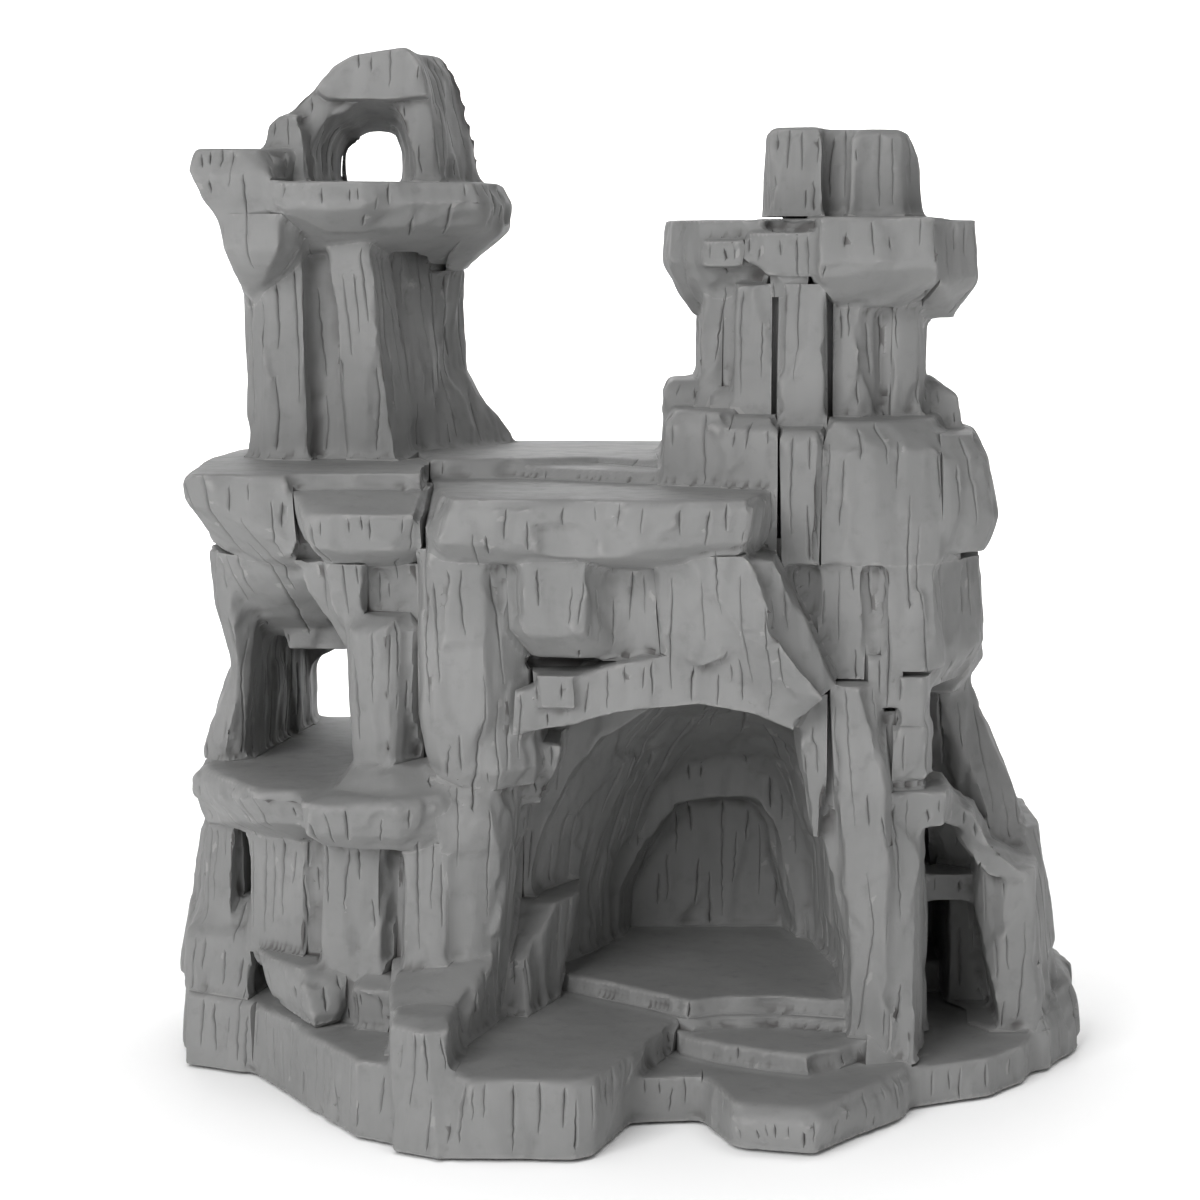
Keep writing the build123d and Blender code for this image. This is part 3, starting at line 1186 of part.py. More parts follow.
def save(name, shape):
    """One STEP file for each casting, lifted so that the rubber feet stand on the floor."""
    solids = [Pos(0, 0, FOOT) * solid for solid in (shape if isinstance(shape, list) else [shape])]
    whole = Compound(children=solids) if len(solids) > 1 else solids[0]
    export_step(whole, f"parts/{name}.step")


def main():
    os.makedirs("parts", exist_ok=True)
    arch = left_arch()
    ring_left = left_ring([arch])
    shaft_left = left_shaft([ring_left])
    cap = right_cap()
    ring_right = right_ring([cap])
    shaft_right = right_shaft([ring_right])
    middle_right = right_middle([shaft_right])
    deck = bridge_deck([shaft_left, middle_right, shaft_right])
    ledge = left_ledge([shaft_left, deck])
    pier = central_pier([deck, ledge])
    pillar = chamber_pillar([deck, ledge, pier])
    chamber = chamber_walls([deck, ledge, pier, pillar])
    sill = balcony([pier, pillar, chamber])
    foot_left = left_rocks([sill, pier, chamber])
    boulders = arch_rocks([deck, pier, middle_right])
    column = right_column([middle_right, boulders, deck])
    liner = cave_liner([boulders, column, pier, deck, chamber, foot_left])
    buttress = right_buttress([column, middle_right])
    back = rear_wall([deck, liner, column, middle_right, chamber, sill, foot_left, boulders, pier])
    grounded = [pier, foot_left, column, liner, buttress, back]
    castings = {
        "left_tower_arch": arch,
        "left_battlement": ring_left,
        "left_tower_shaft": shaft_left,
        "right_tower_cap": cap,
        "right_battlement": ring_right,
        "right_tower_shaft": shaft_right,
        "right_tower_middle": middle_right,
        "bridge_deck": deck,
        "left_ledge": ledge,
        "central_pier": pier,
        "chamber_pillar": pillar,
        "chamber_walls": chamber,
        "balcony_sill": sill,
        "left_foot_rocks": foot_left,
        "arch_boulders": boulders,
        "right_column": column,
        "cave_liner": liner,
        "right_buttress": buttress,
        "rear_wall": back,
        "base": base(grounded),
        "bottom_plate": bottom_plate(),
        "rubber_feet": feet(),
    }
    for name, shape in castings.items():
        save(name, shape)


main()
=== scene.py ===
import math
import random

import bpy
import numpy as np
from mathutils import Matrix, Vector
from mathutils import noise as turbulence
from mathutils.bvhtree import BVHTree
from mathutils.kdtree import KDTree


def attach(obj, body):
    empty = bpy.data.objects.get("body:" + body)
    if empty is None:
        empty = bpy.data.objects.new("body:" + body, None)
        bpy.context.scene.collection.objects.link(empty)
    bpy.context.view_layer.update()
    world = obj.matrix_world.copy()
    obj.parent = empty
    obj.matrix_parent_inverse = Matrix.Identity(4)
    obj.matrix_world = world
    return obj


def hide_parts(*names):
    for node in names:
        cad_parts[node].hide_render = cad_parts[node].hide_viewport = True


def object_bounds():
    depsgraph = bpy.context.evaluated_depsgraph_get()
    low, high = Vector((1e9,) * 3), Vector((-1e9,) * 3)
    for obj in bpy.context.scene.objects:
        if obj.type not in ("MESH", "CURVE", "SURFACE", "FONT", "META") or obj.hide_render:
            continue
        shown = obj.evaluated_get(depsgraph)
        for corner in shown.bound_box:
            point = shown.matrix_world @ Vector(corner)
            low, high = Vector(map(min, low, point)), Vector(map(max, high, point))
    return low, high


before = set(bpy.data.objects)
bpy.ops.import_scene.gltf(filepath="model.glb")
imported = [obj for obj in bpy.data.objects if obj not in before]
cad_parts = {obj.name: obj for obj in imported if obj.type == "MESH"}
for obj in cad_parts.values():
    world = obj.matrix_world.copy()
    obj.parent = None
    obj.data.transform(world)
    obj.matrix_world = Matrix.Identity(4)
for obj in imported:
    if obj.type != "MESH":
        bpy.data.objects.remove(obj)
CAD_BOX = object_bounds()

MM = 0.001
SKIN_VOXEL = 1.6 * MM  # grid of the whole outer skin
SKIN_PASSES = 2  # smoothing passes before the slabs are cut
SLAB_PASSES = 2  # and after, which together set the edge radius
INSET = 0.45 * MM  # the finished skin lies this far inside the CAD faces
DEEPEST = 2.4 * MM  # and a slab sinks no deeper than this below that
THIN_SHARE = 0.22  # nor than this share of what is left of the rock under it
REACH = 4.0 * MM  # how far to look for the skin from a point beside it
SHARP = math.radians(42)  # edges sharper than this keep a hard line in the shading
OUTSIDE_NODES = ("bottom_plate", "rubber_feet")
CASTINGS = sorted(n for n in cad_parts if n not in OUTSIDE_NODES)


# ---------------------------------------------------------------- mesh helpers
def arrays(mesh):
    """Vertices and triangles of a mesh as arrays."""
    points = np.zeros(len(mesh.vertices) * 3, np.float32)
    mesh.vertices.foreach_get("co", points)
    mesh.calc_loop_triangles()
    triangles = np.zeros(len(mesh.loop_triangles) * 3, np.int32)
    mesh.loop_triangles.foreach_get("vertices", triangles)
    return points.reshape(-1, 3).astype(float), triangles.reshape(-1, 3)


def welded(points, triangles):
    """The same triangles with coincident vertices joined."""
    keys = np.round(points / 2e-6).astype(np.int64)
    _, first, inverse = np.unique(keys, axis=0, return_index=True, return_inverse=True)
    triangles = inverse.reshape(-1)[triangles]
    a, b, c = triangles.T
    return points[first], triangles[(a != b) & (b != c) & (c != a)]


def mesh_of(name, points, faces):
    mesh = bpy.data.meshes.new(name)
    mesh.from_pydata(points.tolist(), [], faces.tolist())
    return mesh


def added(mesh):
    made = bpy.data.objects.new(mesh.name, mesh)
    bpy.context.scene.collection.objects.link(made)
    return made


def evaluated(piece):
    """A new mesh with the object's modifiers applied."""
    graph = bpy.context.evaluated_depsgraph_get()
    return bpy.data.meshes.new_from_object(piece.evaluated_get(graph))


def voxelled(name, points, triangles, size):
    """The solid rebuilt on an even grid."""
    piece = added(mesh_of(name, points, triangles))
    remesh = piece.modifiers.new("grid", "REMESH")
    remesh.mode = "VOXEL"
    remesh.voxel_size = size
    mesh = evaluated(piece)
    bpy.data.objects.remove(piece)
    return mesh


def edges_of(mesh):
    ends = np.zeros(len(mesh.edges) * 2, np.int32)
    mesh.edges.foreach_get("vertices", ends)
    return ends.reshape(-1, 2)


def relax(points, ends, passes, share=0.5, weight=None):
    """Each vertex moves part of the way to the mean of its neighbours."""
    count = len(points)
    a, b = ends.T
    degree = np.bincount(a, minlength=count) + np.bincount(b, minlength=count)
    degree = np.maximum(degree, 1)[:, None]
    for _ in range(passes):
        total = np.zeros_like(points)
        for axis in range(3):
            total[:, axis] += np.bincount(a, points[b, axis], count)
            total[:, axis] += np.bincount(b, points[a, axis], count)
        step = share * (total / degree - points)
        points = points + (step if weight is None else step * weight[:, None])
    return points


def set_points(mesh, points):
    mesh.vertices.foreach_set("co", points.astype(np.float32).ravel())
    mesh.update()


# ---------------------------------------------------------------- the castings
solids = {}
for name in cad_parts:
    solids[name] = welded(*arrays(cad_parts[name].data))


def biggest_part(mesh):
    """Drops every loose part but the biggest, so that no closed hollow stays in the skin."""
    a, b = edges_of(mesh).T
    count = len(mesh.vertices)
    label = np.arange(count)
    while True:
        low = np.minimum(label[a], label[b])
        new = label.copy()
        np.minimum.at(new, a, low)
        np.minimum.at(new, b, low)
        np.minimum.at(new, label[a], low)
        np.minimum.at(new, label[b], low)
        new = new[new]
        if (new == label).all():
            break
        label = new
    keep = label == np.bincount(label, minlength=count).argmax()
    points, triangles = arrays(mesh)
    triangles = triangles[keep[triangles[:, 0]]]
    index = np.cumsum(keep) - 1
    return points[keep], index[triangles]


def vertex_normals(points, triangles):
    a, b, c = (points[triangles[:, k]] for k in range(3))
    face = np.cross(b - a, c - a)
    total = np.zeros_like(points)
    for k in range(3):
        for axis in range(3):
            total[:, axis] += np.bincount(triangles[:, k], face[:, axis], len(points))
    return total / np.maximum(np.linalg.norm(total, axis=1), 1e-12)[:, None]


WAVE_POWER = 0.6  # a wave's height goes with its length to this power


def waves(points, seed, count, longest, shortest, height):
    """Smooth uneven hand modelling: a sum of plane waves in random directions."""
    draw = np.random.default_rng(seed)
    total = np.zeros(len(points))
    for _ in range(count):
        axis = draw.normal(size=3)
        axis /= np.linalg.norm(axis)
        length = math.exp(draw.uniform(math.log(shortest), math.log(longest)))
        turn = draw.uniform(0, 2 * math.pi)
        wave = np.sin(points @ axis * (2 * math.pi / length) + turn)
        total += height * wave * (length / longest) ** WAVE_POWER
    return total / math.sqrt(count / 2)


STEEP_END, STEEP_FADE = 0.85, 0.2  # slabs fade out as a face's normal tips towards upright
WIDE_SLABS = {"seed": 8, "wide": 15 * MM, "tall": 42 * MM, "deep": 2.0 * MM, "slant": (0.05, 0.05, 0.025)}
NARROW_SLABS = {"seed": 9, "wide": 5.2 * MM, "tall": 60 * MM, "deep": 0.7 * MM, "slant": (0.06, 0.06, 0.006)}
SLAB_BEND = {"seed": 3, "count": 12, "longest": 40 * MM, "shortest": 12 * MM, "height": 1.1 * MM}

BEND_AXES = (1, -1, 1.5)  # how far the slabs' edges wander along X, Y and Z


def slabs(points, seed, wide, tall, deep, slant):
    """How far each point steps in, so that upright faces break into flat slabs."""
    draw = np.random.default_rng(seed)
    low, high = np.array(CAD_BOX[0]), np.array(CAD_BOX[1])
    squeeze = np.array([1, 1, wide / tall])
    count = int(np.prod((high - low) * squeeze / wide))
    seeds = draw.uniform(low, high, (count, 3))
    tree = KDTree(count)
    for k, seed_point in enumerate((seeds * squeeze).tolist()):
        tree.insert(seed_point, k)
    tree.balance()
    step = draw.uniform(-deep, 0, count)
    tilt = draw.normal(size=(count, 3)) * slant
    bend = waves(points, **SLAB_BEND)[:, None] * BEND_AXES
    cell = np.array([tree.find(p)[1] for p in ((points + bend) * squeeze).tolist()])
    return step[cell] + ((points - seeds[cell]) * tilt[cell]).sum(1)


# casting marks on the fronts of the two towers, as (centre, radius), and how rough they are
GATES = [((-0.113, 0.021, 0.316), 6.5 * MM), ((0.090, -0.025, 0.329), 7.0 * MM)]
GATE_HEIGHT = 0.35 * MM
GATE_LUMPS = {"seed": 5, "count": 14, "longest": 3.2 * MM, "shortest": 2.2 * MM, "height": 0.55 * MM}
HAND_WORK = {"seed": 11, "count": 26, "longest": 34 * MM, "shortest": 9 * MM, "height": 0.2 * MM}
FLAT_SHARE = 0.35  # how much of the hand work shows on level faces
LEAST_INSET = 0.1 * MM
UNDERSIDE = 5 * MM  # faces below this that look down stay flat
PROBE_LIFT = 0.2 * MM
DEEPEST_PROBE = 50 * MM
SOLID_ROCK = 1.0  # the thickness where no far side is found, more than any in the ornament


def thicknesses(points, faces, normals, wanted):
    """How much rock lies straight under each wanted point."""
    tree = BVHTree.FromPolygons(points.tolist(), faces.tolist())
    deep = np.full(len(points), SOLID_ROCK)
    for i in np.nonzero(wanted)[0].tolist():
        inward = Vector(-normals[i])
        hit = tree.ray_cast(Vector(points[i]) + inward * PROBE_LIFT, inward, DEEPEST_PROBE)
        if hit[0] is not None:
            deep[i] = hit[3]
    return deep


def outer_skin():
    """The outside of the whole ornament as one softly rounded skin."""
    points, triangles, shift = [], [], 0
    for name in CASTINGS + ["bottom_plate"]:
        p, t = solids[name]
        points.append(p)
        triangles.append(t + shift)
        shift += len(p)
    mesh = voxelled("skin", np.concatenate(points), np.concatenate(triangles), SKIN_VOXEL)
    ends = edges_of(mesh)
    co, faces = arrays(mesh)
    co = relax(co, ends, SKIN_PASSES)
    normals = vertex_normals(co, faces)
    steep = np.clip((STEEP_END - np.abs(normals[:, 2])) / STEEP_FADE, 0, 1)
    step = slabs(co, **WIDE_SLABS) + slabs(co, **NARROW_SLABS)
    deep = thicknesses(co, faces, normals, steep > 0)
    step = np.clip(step, -np.minimum(DEEPEST, THIN_SHARE * deep), 0)
    co = co + normals * (step * steep)[:, None]
    co = relax(co, ends, SLAB_PASSES)
    set_points(mesh, co)
    points, triangles = biggest_part(mesh)
    normals = vertex_normals(points, triangles)
    upright = np.clip(1.4 - np.abs(normals[:, 2]), FLAT_SHARE, 1.0)
    lift = waves(points, **HAND_WORK) * upright
    for spot, size in GATES:
        away = np.linalg.norm(points - np.array(spot), axis=1) / size
        rough = np.sqrt(np.clip(1 - away, 0, 1))
        lift += rough * (GATE_HEIGHT + waves(points, **GATE_LUMPS))
    lift = np.minimum(lift - INSET, -LEAST_INSET)
    lift[(points[:, 2] < UNDERSIDE) & (normals[:, 2] < -0.5)] = 0
    return points + normals * lift[:, None], triangles


skin_points, skin_triangles = outer_skin()
skin_tree = BVHTree.FromPolygons(skin_points.tolist(), skin_triangles.tolist())


# ---------------------------------------------------------------- carved grooves
GROOVE_SEEDS = 20000
GAP = 3.3 * MM  # usual room between two grooves
DENSE, SPARSE = 0.85, 1.15  # times that in the two kinds of patch
STRIDE = 2.3 * MM
LONGEST = 75 * MM
SAME_FACE = 0.72  # a groove ends where the normal has turned further than this from its start
SAME_STEP = 0.84  # or this far within one stride
TIP_LIFT = 0.35 * MM  # how far a cutter's ends stand off the skin
TOP_LIFT = 0.5 * MM  # and its flat top
SHOULDER, LEDGE_WIDE, LEDGE_DEEP = 1.6, 0.55, 0.35  # shares of a groove's half width and depth
VIEW, VIEW_LIFT = 80 * MM, 0.8 * MM
OPEN = 78 * MM  # a point that sees further than this isn't in a hollow
COVERED_SKIPS = 0.55  # share of the grooves left out in hollows
NARROW = 9 * MM  # no groove where a tool would have less room than this
EDGE_KIND, FOOT_KIND = 0.6, 0.72  # draws below these start at the top or at the foot of a face
LEVEL = 0.72  # no groove where a face looks up or down more than this
LOWEST = 4 * MM
PATCHES_PER_METRE, BARE_PATCH, SPARSE_PATCH = 28, -0.45, 0.05
DRIFTS_PER_METRE, DRIFT_OFFSET = 17, Vector((9, 3, 5))
MOST_DRIFT, MOST_LEAN = 0.22, 0.05  # slopes that neighbours share, and of each groove alone
LEAST_STATIONS = 4
STATIONS = (6, 34)  # range of a groove's length, in strides
SHARE_OF_FACE = (0.45, 1.1)
OVER_EDGE = 1.4 * MM  # how far a groove runs out over the edge it starts at
WANDER = (0.1 * MM, 0.42 * MM)
HALF_WIDTH = (0.40 * MM, 0.84 * MM)
DEPTH_SHARE = (1.4, 2.1)  # depth over half width
UPRIGHT_ENOUGH = 0.3  # the walk stops where a face is nearer to level than this
STUCK = 0.4  # or where a stride gains less than this share of itself
taken = {}


def cell_of(p):
    return tuple(int(math.floor(v / GAP)) for v in p)


def is_free(path, gap):
    for p in path:
        x, y, z = cell_of(p)
        for i in (-1, 0, 1):
            for j in (-1, 0, 1):
                for k in (-1, 0, 1):
                    for q in taken.get((x + i, y + j, z + k), ()):
                        if (q - p).length < gap:
                            return False
    return True


def claim(path):
    for p in path:
        taken.setdefault(cell_of(p), []).append(p)


def march(spot, normal, sign, lean, longest):
    """Walks up (sign 1) or down (-1) the skin from one point until the face ends."""
    path, gone, start = [], 0.0, normal
    while gone < longest:
        along = Vector((0, 0, sign)) - normal * (sign * normal.z)
        if along.length < UPRIGHT_ENOUGH:
            break
        along.normalize()
        across = normal.cross(along)
        target = spot + (along + across * (lean * sign)) * STRIDE
        found, facing, _, _ = skin_tree.find_nearest(target, STRIDE)
        if found is None or facing.dot(start) < SAME_FACE or facing.dot(normal) < SAME_STEP:
            break
        if (found - spot).length < STUCK * STRIDE:
            break
        spot, normal = found, facing
        gone += STRIDE
        path.append((spot, normal))
    return path


def groove(stations, half, depth, from_edge):
    """Vertices and faces of one tapered cutter with soft shoulders along (point, normal) stations."""
    points, faces = [], []
    last = len(stations) - 1
    for i, (spot, normal) in enumerate(stations):
        along = stations[min(i + 1, last)][0] - stations[max(i - 1, 0)][0]
        side = along.cross(normal).normalized()
        if i in (0, last):
            points.append(spot + normal * TIP_LIFT)
            continue
        far = i / last
        share = (1 - far * far) ** 0.7 if from_edge else math.sin(math.pi * far) ** 0.6
        deep, wide = depth * share, half * share
        ledge = LEDGE_DEEP * deep
        inner = LEDGE_WIDE * wide
        shoulder = SHOULDER * wide + TOP_LIFT * (SHOULDER - LEDGE_WIDE) * wide / ledge
        points += [
            spot + side * shoulder + normal * TOP_LIFT,
            spot + side * inner - normal * ledge,
            spot - normal * deep,
            spot - side * inner - normal * ledge,
            spot - side * shoulder + normal * TOP_LIFT,
        ]
    rings = [[0] * 5] + [[5 * k + 1 + j for j in range(5)] for k in range(last - 1)]
    rings.append([len(points) - 1] * 5)
    for near, far in zip(rings, rings[1:]):
        for k in range(5):
            a, b, c, d = near[k], near[(k + 1) % 5], far[(k + 1) % 5], far[k]
            if a == b:
                faces.append((a, c, d))
            elif c == d:
                faces.append((a, b, c))
            else:
                faces.append((a, b, c))
                faces.append((a, c, d))
    turned = sum(points[a].dot(points[b].cross(points[c])) for a, b, c in faces)
    if turned < 0:
        faces = [face[::-1] for face in faces]
    return points, faces


def room_at(spot, normal):
    """How far the skin can see straight out from a point, up to VIEW."""
    hit = skin_tree.ray_cast(spot + normal * VIEW_LIFT, normal, VIEW)
    return VIEW if hit[0] is None else hit[3]


def sideways(normal):
    return normal.cross(Vector((0, 0, 1))).normalized()


def spot_on_skin(draw, corners, areas):
    """A random place on the skin, as likely on any part of its area."""
    k = int(np.searchsorted(areas, draw.random() * areas[-1]))
    k = min(k, len(areas) - 1)
    middle = Vector((corners[0][k] + corners[1][k] + corners[2][k]) / 3)
    spot, normal, _, _ = skin_tree.find_nearest(middle, REACH)
    return spot, normal


def stretch(line, draw):
    """The part of a walked line that one groove takes, and whether it starts at an edge."""
    kind = draw.random()
    wished = max(LEAST_STATIONS, len(line) * draw.uniform(*SHARE_OF_FACE))
    count = int(min(len(line), wished, draw.uniform(*STATIONS)))
    if kind < EDGE_KIND:
        line = line[:count]
        edge, facing = line[0]
        beyond = edge + (edge - line[1][0]).normalized() * OVER_EDGE
        line[0] = (beyond, facing)
    elif kind < FOOT_KIND:
        line = line[-count:][::-1]
    else:
        first = draw.randint(0, len(line) - count)
        line = line[first : first + count]
    return line, kind < FOOT_KIND


def all_grooves(seed):
    """Every groove of the ornament, as the points and faces of its cutter."""
    draw = random.Random(seed)
    a, b, c = (skin_points[skin_triangles[:, k]] for k in range(3))
    areas = np.cumsum(np.linalg.norm(np.cross(b - a, c - a), axis=1))
    made = []
    for _ in range(GROOVE_SEEDS):
        spot, normal = spot_on_skin(draw, (a, b, c), areas)
        if abs(normal.z) > LEVEL or spot.z < LOWEST:
            continue
        patch = turbulence.noise(spot * PATCHES_PER_METRE)
        if patch < BARE_PATCH:
            continue
        gap = GAP * (SPARSE if patch < SPARSE_PATCH else DENSE)
        if not is_free([spot], gap):
            continue
        room = room_at(spot, normal)
        if room < NARROW or (room < OPEN and draw.random() < COVERED_SKIPS):
            continue
        drift = turbulence.noise(spot * DRIFTS_PER_METRE + DRIFT_OFFSET)
        lean = MOST_DRIFT * drift + draw.uniform(-MOST_LEAN, MOST_LEAN)
        up = march(spot, normal, 1, lean, LONGEST)
        down = march(spot, normal, -1, lean, LONGEST)
        line = up[::-1] + [(spot, normal)] + down
        if len(line) < LEAST_STATIONS:
            continue
        line, from_edge = stretch(line, draw)
        wander = draw.uniform(*WANDER)
        line = [(p + sideways(n) * wander * draw.uniform(-1, 1), n) for p, n in line]
        spots = [p for p, _ in line]
        path = [p.lerp(q, f / 2) for p, q in zip(spots, spots[1:]) for f in range(2)] + spots[-1:]
        if not is_free(path, gap):
            continue
        claim(path)
        half = draw.uniform(*HALF_WIDTH)
        deep = half * draw.uniform(*DEPTH_SHARE)
        made.append(groove(line, half, deep, from_edge))
    return made


def combined(name, points, triangles, operation, other):
    """The solid with another one taken from it, or cut down to where both are."""
    piece = added(mesh_of(name, points, triangles))
    boolean = piece.modifiers.new("cut", "BOOLEAN")
    boolean.operation = operation
    boolean.solver = "MANIFOLD"
    boolean.object = other
    mesh = evaluated(piece)
    bpy.data.objects.remove(piece)
    return mesh


def carved_skin(made):
    """The skin with every groove taken out of it."""
    points, faces = [], []
    for own_points, own_faces in made:
        shift = len(points)
        points += [tuple(p) for p in own_points]
        faces += [tuple(shift + k for k in face) for face in own_faces]
    cutter = added(mesh_of("cutter", np.array(points), np.array(faces)))
    carved = added(combined("carved", skin_points, skin_triangles, "DIFFERENCE", cutter))
    bpy.data.objects.remove(cutter)
    return carved


carved = carved_skin(all_grooves("grooves"))
pieces = {}
for name in CASTINGS:
    pieces[name] = added(combined(name + "_cast", *solids[name], "INTERSECT", carved))
bpy.data.objects.remove(carved)


# ---------------------------------------------------------------- materials
def mixed(tree, factor, a, b):
    """A colour mix. Each of a, b and factor is a socket or a value."""
    mix = tree.nodes.new("ShaderNodeMix")
    mix.data_type = "RGBA"
    for socket, value in zip((mix.inputs[0], mix.inputs[6], mix.inputs[7]), (factor, a, b)):
        if isinstance(value, bpy.types.NodeSocket):
            tree.links.new(value, socket)
        elif isinstance(value, tuple):
            socket.default_value = (*value, 1)
        else:
            socket.default_value = value
    return mix.outputs[2]


def ramp(tree, socket, low, high, out_low=0.0, out_high=1.0):
    made = tree.nodes.new("ShaderNodeMapRange")
    made.interpolation_type = "SMOOTHSTEP"
    made.clamp = True
    for key, value in zip(("From Min", "From Max", "To Min", "To Max"), (low, high, out_low, out_high)):
        made.inputs[key].default_value = value
    tree.links.new(socket, made.inputs["Value"])
    return made.outputs["Result"]


def noise(tree, vector, scale, detail=3.0, roughness=0.5):
    made = tree.nodes.new("ShaderNodeTexNoise")
    made.inputs["Scale"].default_value = scale
    made.inputs["Detail"].default_value = detail
    made.inputs["Roughness"].default_value = roughness
    tree.links.new(vector, made.inputs["Vector"])
    return made.outputs["Fac"]


def stretched(tree, vector, scale):
    made = tree.nodes.new("ShaderNodeVectorMath")
    made.operation = "MULTIPLY"
    made.inputs[1].default_value = scale
    tree.links.new(vector, made.inputs[0])
    return made.outputs[0]


def bumped(tree, height, distance, strength, under=None):
    made = tree.nodes.new("ShaderNodeBump")
    made.inputs["Distance"].default_value = distance
    made.inputs["Strength"].default_value = strength
    tree.links.new(height, made.inputs["Height"])
    if under is not None:
        tree.links.new(under, made.inputs["Normal"])
    return made.outputs["Normal"]


def material(name):
    made = bpy.data.materials.new(name)
    made.use_nodes = True
    tree = made.node_tree
    tree.nodes.clear()
    out = tree.nodes.new("ShaderNodeOutputMaterial")
    shader = tree.nodes.new("ShaderNodeBsdfPrincipled")
    tree.links.new(shader.outputs[0], out.inputs[0])
    return made, tree, shader


RESIN = (0.235, 0.236, 0.234)
RESIN_LIGHT = (0.272, 0.272, 0.270)
RESIN_DARK = (0.190, 0.190, 0.189)
# painted highlight: the lighter grey laid on convex edges, as if light catches them
RESIN_EDGE_HIGHLIGHT = (0.350, 0.345, 0.340)
# painted shade: the near-black grey laid in crevices, where shade falls
RESIN_PAINTED_SHADE = (0.095, 0.090, 0.088)
# sizes of the four noises, in cycles per metre
CLOUDS, MOTTLES, GRAINS = 22, 130, 1500
STREAKS = (260, 260, 24)
# pointiness, 0.5 on a flat face, at which a colour starts and is full
# painted highlight range: convex edges get the lighter grey, as if lit
PAINTED_EDGE_HIGHLIGHT = (0.515, 0.57)
# painted shade range: concave crevices get the dark grey, as if occluded
PAINTED_CREVICE_SHADE = (0.485, 0.42)
RESIN_ROUGHNESS = (0.56, 0.70)
RESIN_GLOSS = 0.26
STREAK_HEIGHT, MOTTLE_HEIGHT, GRAIN_HEIGHT = 0.35 * MM, 0.5 * MM, 0.06 * MM


def resin(name):
    """Painted cast resin: uneven grey, with a painted highlight on the rounded edges and painted shade in
    the crevices.
    """
    made, tree, shader = material(name)
    place = tree.nodes.new("ShaderNodeTexCoord").outputs["Object"]
    point = tree.nodes.new("ShaderNodeNewGeometry").outputs["Pointiness"]
    cloud = noise(tree, place, CLOUDS, 4, 0.55)
    mottle = noise(tree, place, MOTTLES, 5, 0.6)
    streak = noise(tree, stretched(tree, place, STREAKS), 1, 3, 0.55)
    grain = noise(tree, place, GRAINS, 2, 0.5)
    colour = mixed(tree, ramp(tree, cloud, 0.35, 0.68), RESIN, RESIN_LIGHT)
    colour = mixed(tree, ramp(tree, mottle, 0.52, 0.8, 0, 0.55), colour, RESIN_DARK)
    colour = mixed(tree, ramp(tree, streak, 0.55, 0.8, 0, 0.35), colour, RESIN_LIGHT)
    # painted highlight: convex edges lightened, standing in for light catching them
    colour = mixed(tree, ramp(tree, point, *PAINTED_EDGE_HIGHLIGHT, 0, 0.6), colour, RESIN_EDGE_HIGHLIGHT)
    # painted shade: crevices darkened, standing in for occlusion shadow
    colour = mixed(tree, ramp(tree, point, *PAINTED_CREVICE_SHADE, 0, 0.8), colour, RESIN_PAINTED_SHADE)
    tree.links.new(colour, shader.inputs["Base Color"])
    rough = ramp(tree, mottle, 0.25, 0.75, *RESIN_ROUGHNESS)
    tree.links.new(rough, shader.inputs["Roughness"])
    shader.inputs["Specular IOR Level"].default_value = RESIN_GLOSS
    normal = bumped(tree, streak, STREAK_HEIGHT, 0.32)
    normal = bumped(tree, mottle, MOTTLE_HEIGHT, 0.22, normal)
    normal = bumped(tree, grain, GRAIN_HEIGHT, 0.35, normal)
    tree.links.new(normal, shader.inputs["Normal"])
    return made


def plain(name, dark, light, scale, rough, grain_scale):
    """An even material with slow changes between two colours and a fine grain."""
    made, tree, shader = material(name)
    place = tree.nodes.new("ShaderNodeTexCoord").outputs["Object"]
    cloud = noise(tree, place, scale, 4, 0.6)
    grain = noise(tree, place, grain_scale, 3, 0.5)
    tree.links.new(mixed(tree, ramp(tree, cloud, 0.3, 0.7), dark, light), shader.inputs["Base Color"])
    tree.links.new(ramp(tree, cloud, 0.2, 0.8, rough - 0.06, rough + 0.06), shader.inputs["Roughness"])
    tree.links.new(bumped(tree, grain, 0.1 * MM, 0.4), shader.inputs["Normal"])
    return made


cast_resin = resin("cast_resin")
plate_resin = plain("plate_resin", (0.20, 0.20, 0.20), (0.26, 0.26, 0.255), 60, 0.6, 900)
rubber = plain("rubber", (0.018, 0.018, 0.018), (0.032, 0.032, 0.032), 120, 0.75, 1400)

for name in CASTINGS:
    piece = pieces[name]
    piece.name = name + "_cast"
    mesh = piece.data
    mesh.name = piece.name
    mesh.polygons.foreach_set("use_smooth", [True] * len(mesh.polygons))
    mesh.set_sharp_from_angle(angle=SHARP)
    mesh.materials.clear()
    mesh.materials.append(cast_resin)
    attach(piece, "root")
    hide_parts(name)

for name, finish in (("bottom_plate", plate_resin), ("rubber_feet", rubber)):
    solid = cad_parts[name]
    solid.data.materials.clear()
    solid.data.materials.append(finish)


# ---------------------------------------------------------------- floor, light and camera
FLOOR_FRONT, FLOOR_BACK = -4.0, 1.6
BEND_RADIUS, BEND_STEPS = 1.2, 12
WALL_TOP = 5.0
HALF_FLOOR = 6.0


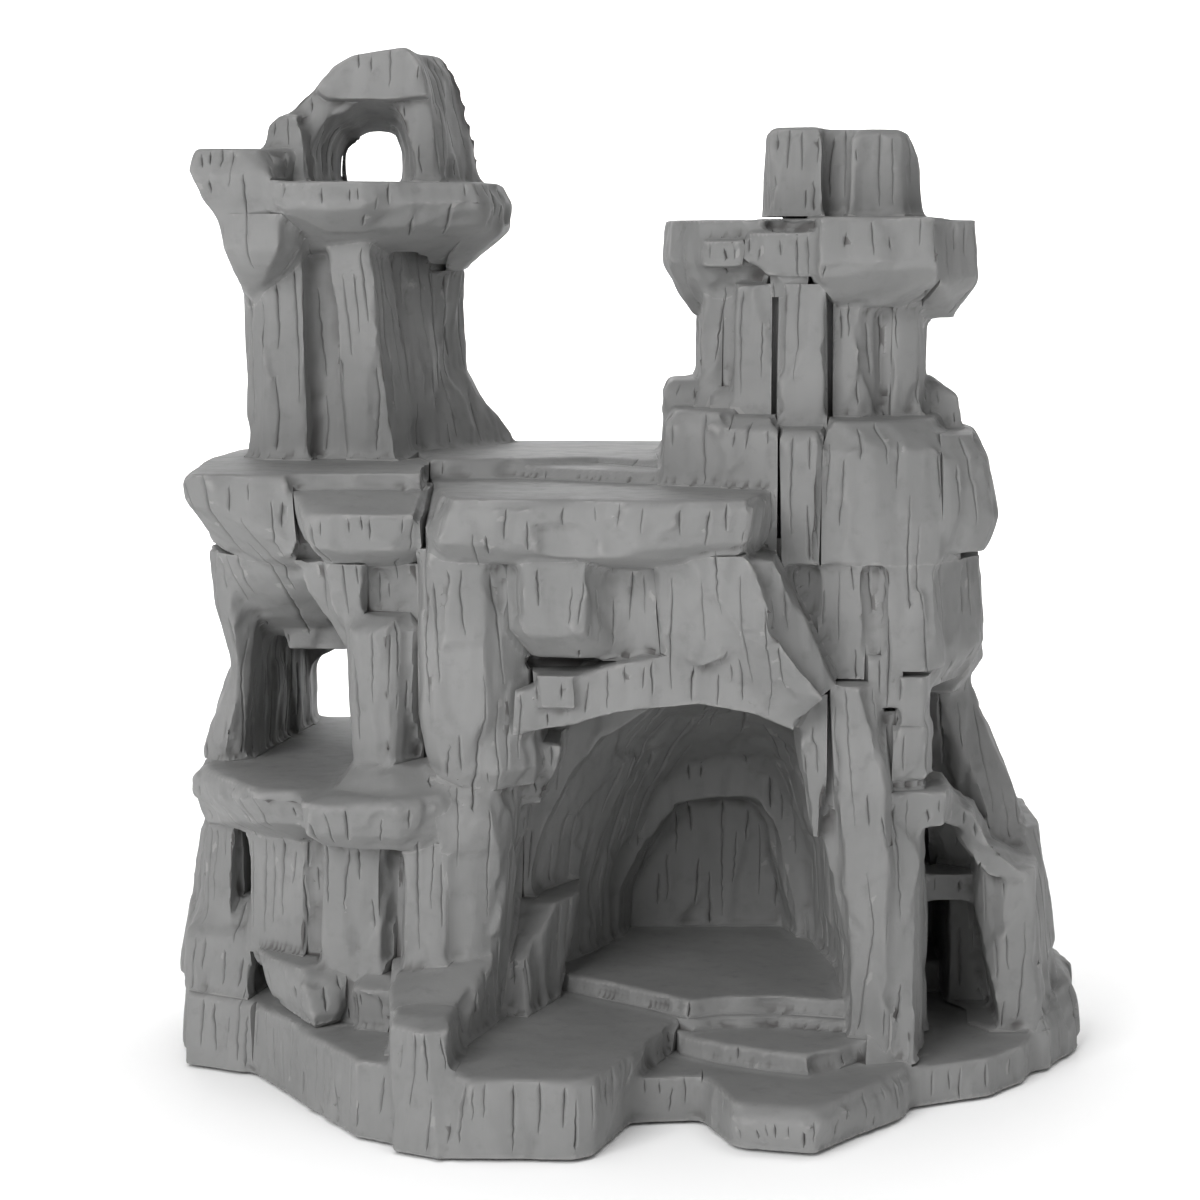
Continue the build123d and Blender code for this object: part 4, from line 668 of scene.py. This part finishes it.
def backdrop():
    """A pale floor that curves up into a wall behind the ornament."""
    profile = [(FLOOR_FRONT, 0.0), (FLOOR_BACK, 0.0)]
    for k in range(1, BEND_STEPS + 1):
        turn = math.pi / 2 * k / BEND_STEPS
        rise = BEND_RADIUS - BEND_RADIUS * math.cos(turn)
        profile.append((FLOOR_BACK + BEND_RADIUS * math.sin(turn), rise))
    profile.append((FLOOR_BACK + BEND_RADIUS, WALL_TOP))
    points, faces = [], []
    for y, z in profile:
        points += [(-HALF_FLOOR, y, z), (HALF_FLOOR, y, z)]
    for k in range(len(profile) - 1):
        faces.append((2 * k, 2 * k + 1, 2 * k + 3, 2 * k + 2))
    mesh = bpy.data.meshes.new("backdrop")
    mesh.from_pydata(points, [], faces)
    mesh.polygons.foreach_set("use_smooth", [True] * len(faces))
    floor = added(mesh)
    made, tree, shader = material("pale_floor")
    place = tree.nodes.new("ShaderNodeTexCoord").outputs["Object"]
    tint = mixed(tree, noise(tree, place, 3, 2, 0.5), (0.88, 0.88, 0.88), (0.90, 0.90, 0.90))
    tree.links.new(tint, shader.inputs["Base Color"])
    shader.inputs["Roughness"].default_value = 0.9
    shader.inputs["Specular IOR Level"].default_value = 0.1
    mesh.materials.append(made)
    return floor


def area_light(name, place, target, width, height, power):
    lamp = bpy.data.lights.new(name, "AREA")
    lamp.shape = "RECTANGLE"
    lamp.size, lamp.size_y = width, height
    lamp.energy = power
    holder = bpy.data.objects.new(name, lamp)
    bpy.context.scene.collection.objects.link(holder)
    holder.location = place
    holder.rotation_euler = (Vector(target) - Vector(place)).to_track_quat("-Z", "Y").to_euler()
    return holder


floor = backdrop()
lit = bpy.data.collections.new("floor_only")
lit.objects.link(floor)
wash = area_light("floor_wash", (0, -0.8, 3.2), (0, 0, 0), 4.5, 4.5, power=85)
wash.light_linking.receiver_collection = lit
MIDDLE = (0, 0, 0.2)
area_light("key", (-0.85, -1.45, 0.95), MIDDLE, 0.9, 0.9, power=21.5)
area_light("fill", (1.3, -1.2, 0.4), MIDDLE, 0.9, 0.9, power=2.0)
area_light("top", (0.1, 0.2, 1.5), MIDDLE, 1.2, 1.2, power=2.5)
area_light("back_wall", (0, 1.2, 1.9), (0, 2.6, 1.0), 3.0, 1.2, power=60)

SKY_STRENGTH = 0.20
world = bpy.data.worlds.new("studio")
bpy.context.scene.world = world
world.use_nodes = True
world.node_tree.nodes["Background"].inputs[0].default_value = (1, 1, 1, 1)
world.node_tree.nodes["Background"].inputs[1].default_value = SKY_STRENGTH

EYE = (-0.012, -1.150, 0.3298)
LOOKS_DOWN = math.radians(7.007)
lens = bpy.data.cameras.new("camera")
lens.sensor_width = 36
lens.lens = 87.87
lens.clip_end = 40
camera = bpy.data.objects.new("camera", lens)
bpy.context.scene.collection.objects.link(camera)
camera.location = EYE
camera.rotation_euler = (math.pi / 2 - LOOKS_DOWN, 0, 0)
bpy.context.scene.camera = camera
bpy.context.scene.view_settings.view_transform = "Standard"
